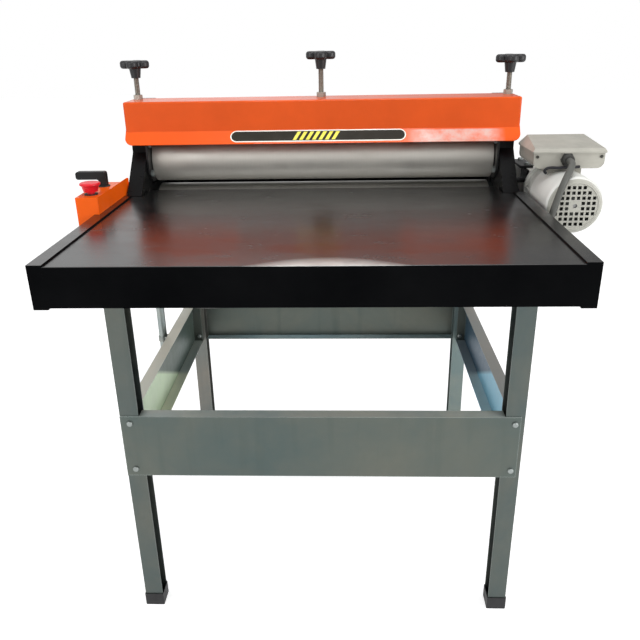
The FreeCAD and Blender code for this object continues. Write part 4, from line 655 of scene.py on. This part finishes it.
# ---------------------------------------------------------------- guard's marking strip
STRIP_MIDDLE = -44.0 * MM
STRIP_LENGTH = 385.0 * MM
STRIP_HEIGHT = 28.0 * MM
STRIP_TOP = 0.6 * MM            # below the guard's fold
STRIP_RIM = 2.4 * MM
STRIP_SHEET = 0.12 * MM
STRIPES = 7
STRIPES_START = -99.0 * MM
STRIPES_END = 0.0 * MM
STRIPE_LEAN = 0.55              # sideways per height
STRIPE_WIDTH = 0.55             # share of the pitch
STRIPE_MARGIN = 1.6 * MM        # to the field's edge
CAPSULE_STEPS = 16              # along each round end
BAND_FOLD = (-70.0 * MM, 1064.0 * MM)           # Y and Z where the guard's face folds
BAND_FOOT = (-90.0 * MM, 1038.0 * MM)           # Y and Z of the band's lower edge
STRIP_WHITE = moulded("strip_white", srgb(232, 230, 220), 0.35, grain=0.1, wear=0.0)
STRIP_DARK = moulded("strip_dark", srgb(42, 40, 34), 0.45, grain=0.1, specular=0.1, wear=0.0)
STRIP_YELLOW = moulded("strip_yellow", srgb(222, 214, 60), 0.35, grain=0.1, wear=0.0)


def marking_strip():
    """Pale-rimmed capsule with plain slanting stripes, lying on the guard's lower band."""
    down = Vector((0, BAND_FOOT[0] - BAND_FOLD[0], BAND_FOOT[1] - BAND_FOLD[1])).normalized()
    outward = Vector((0, down.z, -down.y))
    if outward.y > 0:
        outward.negate()
    fold = Vector((0, *BAND_FOLD))

    def on_band(x, drop, lift):
        return Vector((x, 0, 0)) + fold + down * drop + outward * lift

    def capsule(inset, lift):
        radius = STRIP_HEIGHT / 2 - inset
        reach = STRIP_LENGTH / 2 - STRIP_HEIGHT / 2
        points = []
        for side in (1, -1):
            for step in range(CAPSULE_STEPS + 1):
                angle = math.pi * (step / CAPSULE_STEPS - 0.5)
                x = STRIP_MIDDLE + side * (reach + radius * math.cos(angle))
                drop = STRIP_TOP + STRIP_HEIGHT / 2 + side * radius * math.sin(angle)
                points.append(on_band(x, drop, lift))
        return points

    rim = bmesh.new()
    add_prism(rim, capsule(0, 0), outward * STRIP_SHEET)
    place_piece("strip_rim", rim, "frame", "orange_paint", STRIP_WHITE)
    field = bmesh.new()
    add_prism(field, capsule(STRIP_RIM, STRIP_SHEET), outward * STRIP_SHEET / 2)
    place_piece("strip_field", field, "frame", "orange_paint", STRIP_DARK)
    stripes = bmesh.new()
    pitch = (STRIPES_END - STRIPES_START) / STRIPES
    high = STRIP_TOP + STRIP_RIM + STRIPE_MARGIN
    low = STRIP_TOP + STRIP_HEIGHT - STRIP_RIM - STRIPE_MARGIN
    lean = (low - high) * STRIPE_LEAN
    lift = STRIP_SHEET * 1.5
    for number in range(STRIPES):
        x = STRIPES_START + pitch * number
        width = pitch * STRIPE_WIDTH
        outline = [on_band(x + lean, high, lift), on_band(x + lean + width, high, lift),
                   on_band(x + width, low, lift), on_band(x, low, lift)]
        add_prism(stripes, outline, outward * STRIP_SHEET / 2)
    place_piece("strip_stripes", stripes, "frame", "orange_paint", STRIP_YELLOW)


marking_strip()


# ---------------------------------------------------------------- motor details
STEP_RING_R = 46.0 * MM
STEP_RING_HALF = 1.4 * MM
STEP_RING_RISE = 1.1 * MM
EARTH_LEAD_D = 5.6 * MM
TERMINAL_DEPTH = 31.0 * MM      # terminal box, floor to lid
TERMINAL_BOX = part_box("terminal_box")
TERMINAL_MARGIN = 4.0 * MM      # its screws lie this near to it
COVER_FACE = 0.8                # the fan cover's end faces forward by this much or more
CAP_SHEET = 6.0 * MM            # strap over the gearbox
CAP_HALF = 44.0 * MM
CAP_REACH = 24.0 * MM
CAP_UNDER = 8.0 * MM            # the strap's underside below the bracket's top
CAP_BEVEL = 1.2 * MM
CAP_BOLT_Y = 32.0 * MM
CAP_BOLT_ACROSS = 10.0 * MM
CAP_BOLT_HEIGHT = 5.0 * MM
LEAD_DARK = moulded("lead_sheath", srgb(40, 40, 44), 0.5, grain=0.4, specular=0.2)
SCREW_DARK = turned_steel("screw_dark", srgb(70, 70, 66), 0.45, along="Y")


def middle_of(node):
    """Middle of a node's box."""
    low, high = (Vector(corner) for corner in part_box(node))
    return (low + high) / 2


def fan_cover_step():
    """Raised bead round the grille of the fan cover."""
    low = Vector(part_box("fan_cover")[0])
    middle = middle_of("fan_cover")
    ring = bmesh.new()
    profile = [(STEP_RING_R - STEP_RING_HALF, 0), (STEP_RING_R + STEP_RING_HALF, 0),
               (STEP_RING_R + STEP_RING_HALF * 0.6, STEP_RING_RISE * 0.8),
               (STEP_RING_R, STEP_RING_RISE),
               (STEP_RING_R - STEP_RING_HALF * 0.6, STEP_RING_RISE * 0.8)]
    add_lathe(ring, profile, (middle.x, low.y, middle.z), (0, -1, 0), steps=96, closed=True)
    place_piece("fan_cover_step", ring, "frame", "fan_cover_paint", smooth_angle=math.radians(60))


def earth_lead():
    """Thin lead from the rear of the gland along the box's foot, hooked down at its end; its dark
    sheath also stands in for the shadow gap under the box (painted shade).
    """
    front = TERMINAL_BOX[0][1] - EARTH_LEAD_D / 2
    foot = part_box("terminal_lid")[0][2] - TERMINAL_DEPTH
    axis = middle_of("fan_cover").x
    route = [(22, 0, 4), (8, -1, 3), (-8, -1.5, 3.5), (-22, -1.5, 2), (-34, -1, 3),
             (-43, -1, 2), (-48, 0, -2), (-47, 2, -7), (-43, 3, -9)]
    points = [(axis + x * MM, front + y * MM, foot + z * MM) for x, y, z in route]
    tube_along("earth_lead", points, EARTH_LEAD_D, "frame", "cable_black", LEAD_DARK)


def hex_head(mesh, centre, across, height):
    """Bolt head standing on a level face, its top edge chamfered."""
    low = Vector(centre)
    corner = across / math.sqrt(3)
    rings = []
    for radius, rise in ((corner, 0), (corner, height * 0.8), (corner * 0.86, height)):
        rings.append([mesh.verts.new(low + Vector((radius * math.cos(math.pi * step / 3),
                                                   radius * math.sin(math.pi * step / 3), rise)))
                      for step in range(6)])
    for under, over in zip(rings, rings[1:]):
        for step in range(6):
            ahead = (step + 1) % 6
            mesh.faces.new((under[step], under[ahead], over[ahead], over[step]))
    mesh.faces.new(rings[0][::-1])
    mesh.faces.new(rings[-1])


def torque_cap():
    """Strap over the gearbox's left shoulder, with its two bolts."""
    low = Vector(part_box("gearbox_housing")[0])
    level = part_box("torque_bracket")[1][2] - CAP_UNDER
    strap = bmesh.new()
    add_block(strap, (low.x - CAP_SHEET, -CAP_HALF, level),
              (low.x + CAP_REACH, CAP_HALF, level + CAP_SHEET), bevel=CAP_BEVEL)
    place_piece("torque_cap", strap, "frame", "casting_black")
    heads = bmesh.new()
    for y in (-CAP_BOLT_Y, CAP_BOLT_Y):
        hex_head(heads, (low.x + CAP_REACH / 2, y, level + CAP_SHEET),
                 CAP_BOLT_ACROSS, CAP_BOLT_HEIGHT)
    place_piece("torque_cap_bolts", heads, "frame", "zinc_bolts")


def is_cover_end(face):
    """0 for the fan cover's end, 1 for its side."""
    return 0 if face.normal.y < -COVER_FACE else 1


def is_terminal_screw(face):
    """1 for the screws of the terminal box, 0 for the press's other bolts."""
    inside = all(low - TERMINAL_MARGIN < place < high + TERMINAL_MARGIN
                 for low, place, high in zip(TERMINAL_BOX[0], face.center, TERMINAL_BOX[1]))
    return 1 if inside else 0


fan_cover_step()
earth_lead()
torque_cap()
# painted shade: the fan cover's end face keeps the darker grey of its slot finish while its side
# takes the motor's paler paint
dress_sheet("fan_cover",
            (FINISHES["fan_cover_paint"], FINISHES["motor_paint"]), is_cover_end)
dress_sheet("press_bolts", (FINISHES["zinc_bolts"], SCREW_DARK),
            is_terminal_screw)


# ---------------------------------------------------------------- stage
FLOOR_HALF = 14.0
FLOOR_DROP = 0.3 * MM
FLOOR_GLOW = 0.64               # brings the lit floor up to white; its shadows stay below
WORLD_FILL = 0.42
DIM_X = (-0.12, 0.26)           # direction's X and Y over which the surround grows darker
DIM_Y = (0.10, 0.50)
DIM_SHARE = 0.66
LAMPS = {                       # place, the point it looks at, side, power in watts
    "key_left": ((-2.4, -2.6, 2.0), (0, 0, 0.7), 1.6, 44),
    "key_right": ((2.8, -1.8, 1.5), (0, 0, 0.7), 1.5, 58),
    "front": ((0.0, -1.2, 3.2), (0, 0, 0.9), 1.0, 22),
    "top": ((0.3, 0.9, 3.6), (0, 0.1, 0.9), 2.2, 20),
}


def make_floor():
    """Pale floor that shows white to the camera and keeps the object's shadow."""
    bpy.ops.mesh.primitive_plane_add(size=2 * FLOOR_HALF, location=(0, 0, -FLOOR_DROP))
    floor = bpy.context.object
    floor.name = "floor"
    made = Finish("floor_paper", specular=0.1)
    tone = made.noise(0.7, detail=2.0)
    colour = made.blend(tone, (0.86, 0.86, 0.86), (0.90, 0.90, 0.90))
    made.finish(colour, 0.8, made.bump(made.noise(40.0), 0.2 * MM, 0.2))
    path = made.node("ShaderNodeLightPath").outputs
    seen = made.calc("MAXIMUM", path["Is Camera Ray"],
                     made.calc("MAXIMUM", path["Is Glossy Ray"], path["Is Transmission Ray"]))
    glow = made.calc("MULTIPLY", seen, FLOOR_GLOW)
    made.feed(made.surface.inputs["Emission Color"], (1.0, 1.0, 1.0, 1.0))
    made.feed(made.surface.inputs["Emission Strength"], glow)
    floor.data.materials.append(made.material)


def dim_side(tree, is_camera):
    """Strength of the reflected surround: 1, falling off at the right behind the object."""
    def step(operation, first, second):
        made = tree.nodes.new("ShaderNodeMath")
        made.operation = operation
        for socket, value in zip(made.inputs, (first, second)):
            if isinstance(value, bpy.types.NodeSocket):
                tree.links.new(value, socket)
            else:
                socket.default_value = value
        return made.outputs[0]

    def ramp(value, low, high):
        made = tree.nodes.new("ShaderNodeMapRange")
        tree.links.new(value, made.inputs["Value"])
        made.inputs["From Min"].default_value = low
        made.inputs["From Max"].default_value = high
        return made.outputs["Result"]

    split = tree.nodes.new("ShaderNodeSeparateXYZ")
    tree.links.new(tree.nodes.new("ShaderNodeTexCoord").outputs["Generated"], split.inputs[0])
    area = step("MULTIPLY", ramp(split.outputs["X"], *DIM_X), ramp(split.outputs["Y"], *DIM_Y))
    seen = step("SUBTRACT", 1.0, is_camera)
    return step("SUBTRACT", 1.0, step("MULTIPLY", seen, step("MULTIPLY", area, DIM_SHARE)))


def make_world():
    """White to the eye and in reflections, a plain fill for the rest of the light."""
    world = bpy.data.worlds.new("studio")
    bpy.context.scene.world = world
    world.use_nodes = True
    tree = world.node_tree
    tree.nodes.clear()
    out = tree.nodes.new("ShaderNodeOutputWorld")
    mixer = tree.nodes.new("ShaderNodeMixShader")
    fill = tree.nodes.new("ShaderNodeBackground")
    white = tree.nodes.new("ShaderNodeBackground")
    path = tree.nodes.new("ShaderNodeLightPath")
    fill.inputs["Color"].default_value = (WORLD_FILL, WORLD_FILL, WORLD_FILL, 1.0)
    white.inputs["Color"].default_value = (1.0, 1.0, 1.0, 1.0)
    share = path.outputs["Is Camera Ray"]
    for kind in ("Is Glossy Ray", "Is Transmission Ray"):
        larger = tree.nodes.new("ShaderNodeMath")
        larger.operation = "MAXIMUM"
        tree.links.new(share, larger.inputs[0])
        tree.links.new(path.outputs[kind], larger.inputs[1])
        share = larger.outputs[0]
    tree.links.new(share, mixer.inputs["Fac"])
    tree.links.new(dim_side(tree, path.outputs["Is Camera Ray"]), white.inputs["Strength"])
    tree.links.new(fill.outputs["Background"], mixer.inputs[1])
    tree.links.new(white.outputs["Background"], mixer.inputs[2])
    tree.links.new(mixer.outputs["Shader"], out.inputs["Surface"])


def soft_box(name, place, target, size, power):
    """Square area lamp that looks at a point."""
    lamp = bpy.data.lights.new(name, "AREA")
    lamp.shape = "SQUARE"
    lamp.size = size
    lamp.energy = power
    holder = bpy.data.objects.new(name, lamp)
    bpy.context.scene.collection.objects.link(holder)
    holder.location = place
    holder.rotation_euler = (Vector(target) - Vector(place)).to_track_quat("-Z", "Y").to_euler()
    holder.visible_camera = False


CAMERA_PLACE = (0.01661, -1.62578, 1.26213)
CAMERA_YAW = -0.0408
CAMERA_PITCH = 0.3963
CAMERA_ROLL = -0.0186
CAMERA_FOCUS = 688.94           # focal length in pixels of a 640-pixel frame
FRAME_WIDTH = 640
SENSOR_WIDTH = 36.0


def make_camera():
    """Camera of the reference view: yaw, then pitch down, then roll."""
    ahead = Vector((math.sin(CAMERA_YAW) * math.cos(CAMERA_PITCH),
                    math.cos(CAMERA_YAW) * math.cos(CAMERA_PITCH), -math.sin(CAMERA_PITCH)))
    right = Vector((math.cos(CAMERA_YAW), -math.sin(CAMERA_YAW), 0))
    up = right.cross(ahead)
    side = right * math.cos(CAMERA_ROLL) + up * math.sin(CAMERA_ROLL)
    top = up * math.cos(CAMERA_ROLL) - right * math.sin(CAMERA_ROLL)
    lens = bpy.data.cameras.new("camera")
    lens.sensor_width = SENSOR_WIDTH
    lens.lens = SENSOR_WIDTH * CAMERA_FOCUS / FRAME_WIDTH
    camera = bpy.data.objects.new("camera", lens)
    bpy.context.scene.collection.objects.link(camera)
    turn = Matrix((side, top, -ahead)).transposed().to_4x4()
    camera.matrix_world = Matrix.Translation(CAMERA_PLACE) @ turn
    bpy.context.scene.camera = camera


make_floor()
make_world()
for lamp_name, settings in LAMPS.items():
    soft_box(lamp_name, *settings)
make_camera()
bpy.context.scene.view_settings.view_transform = "Standard"
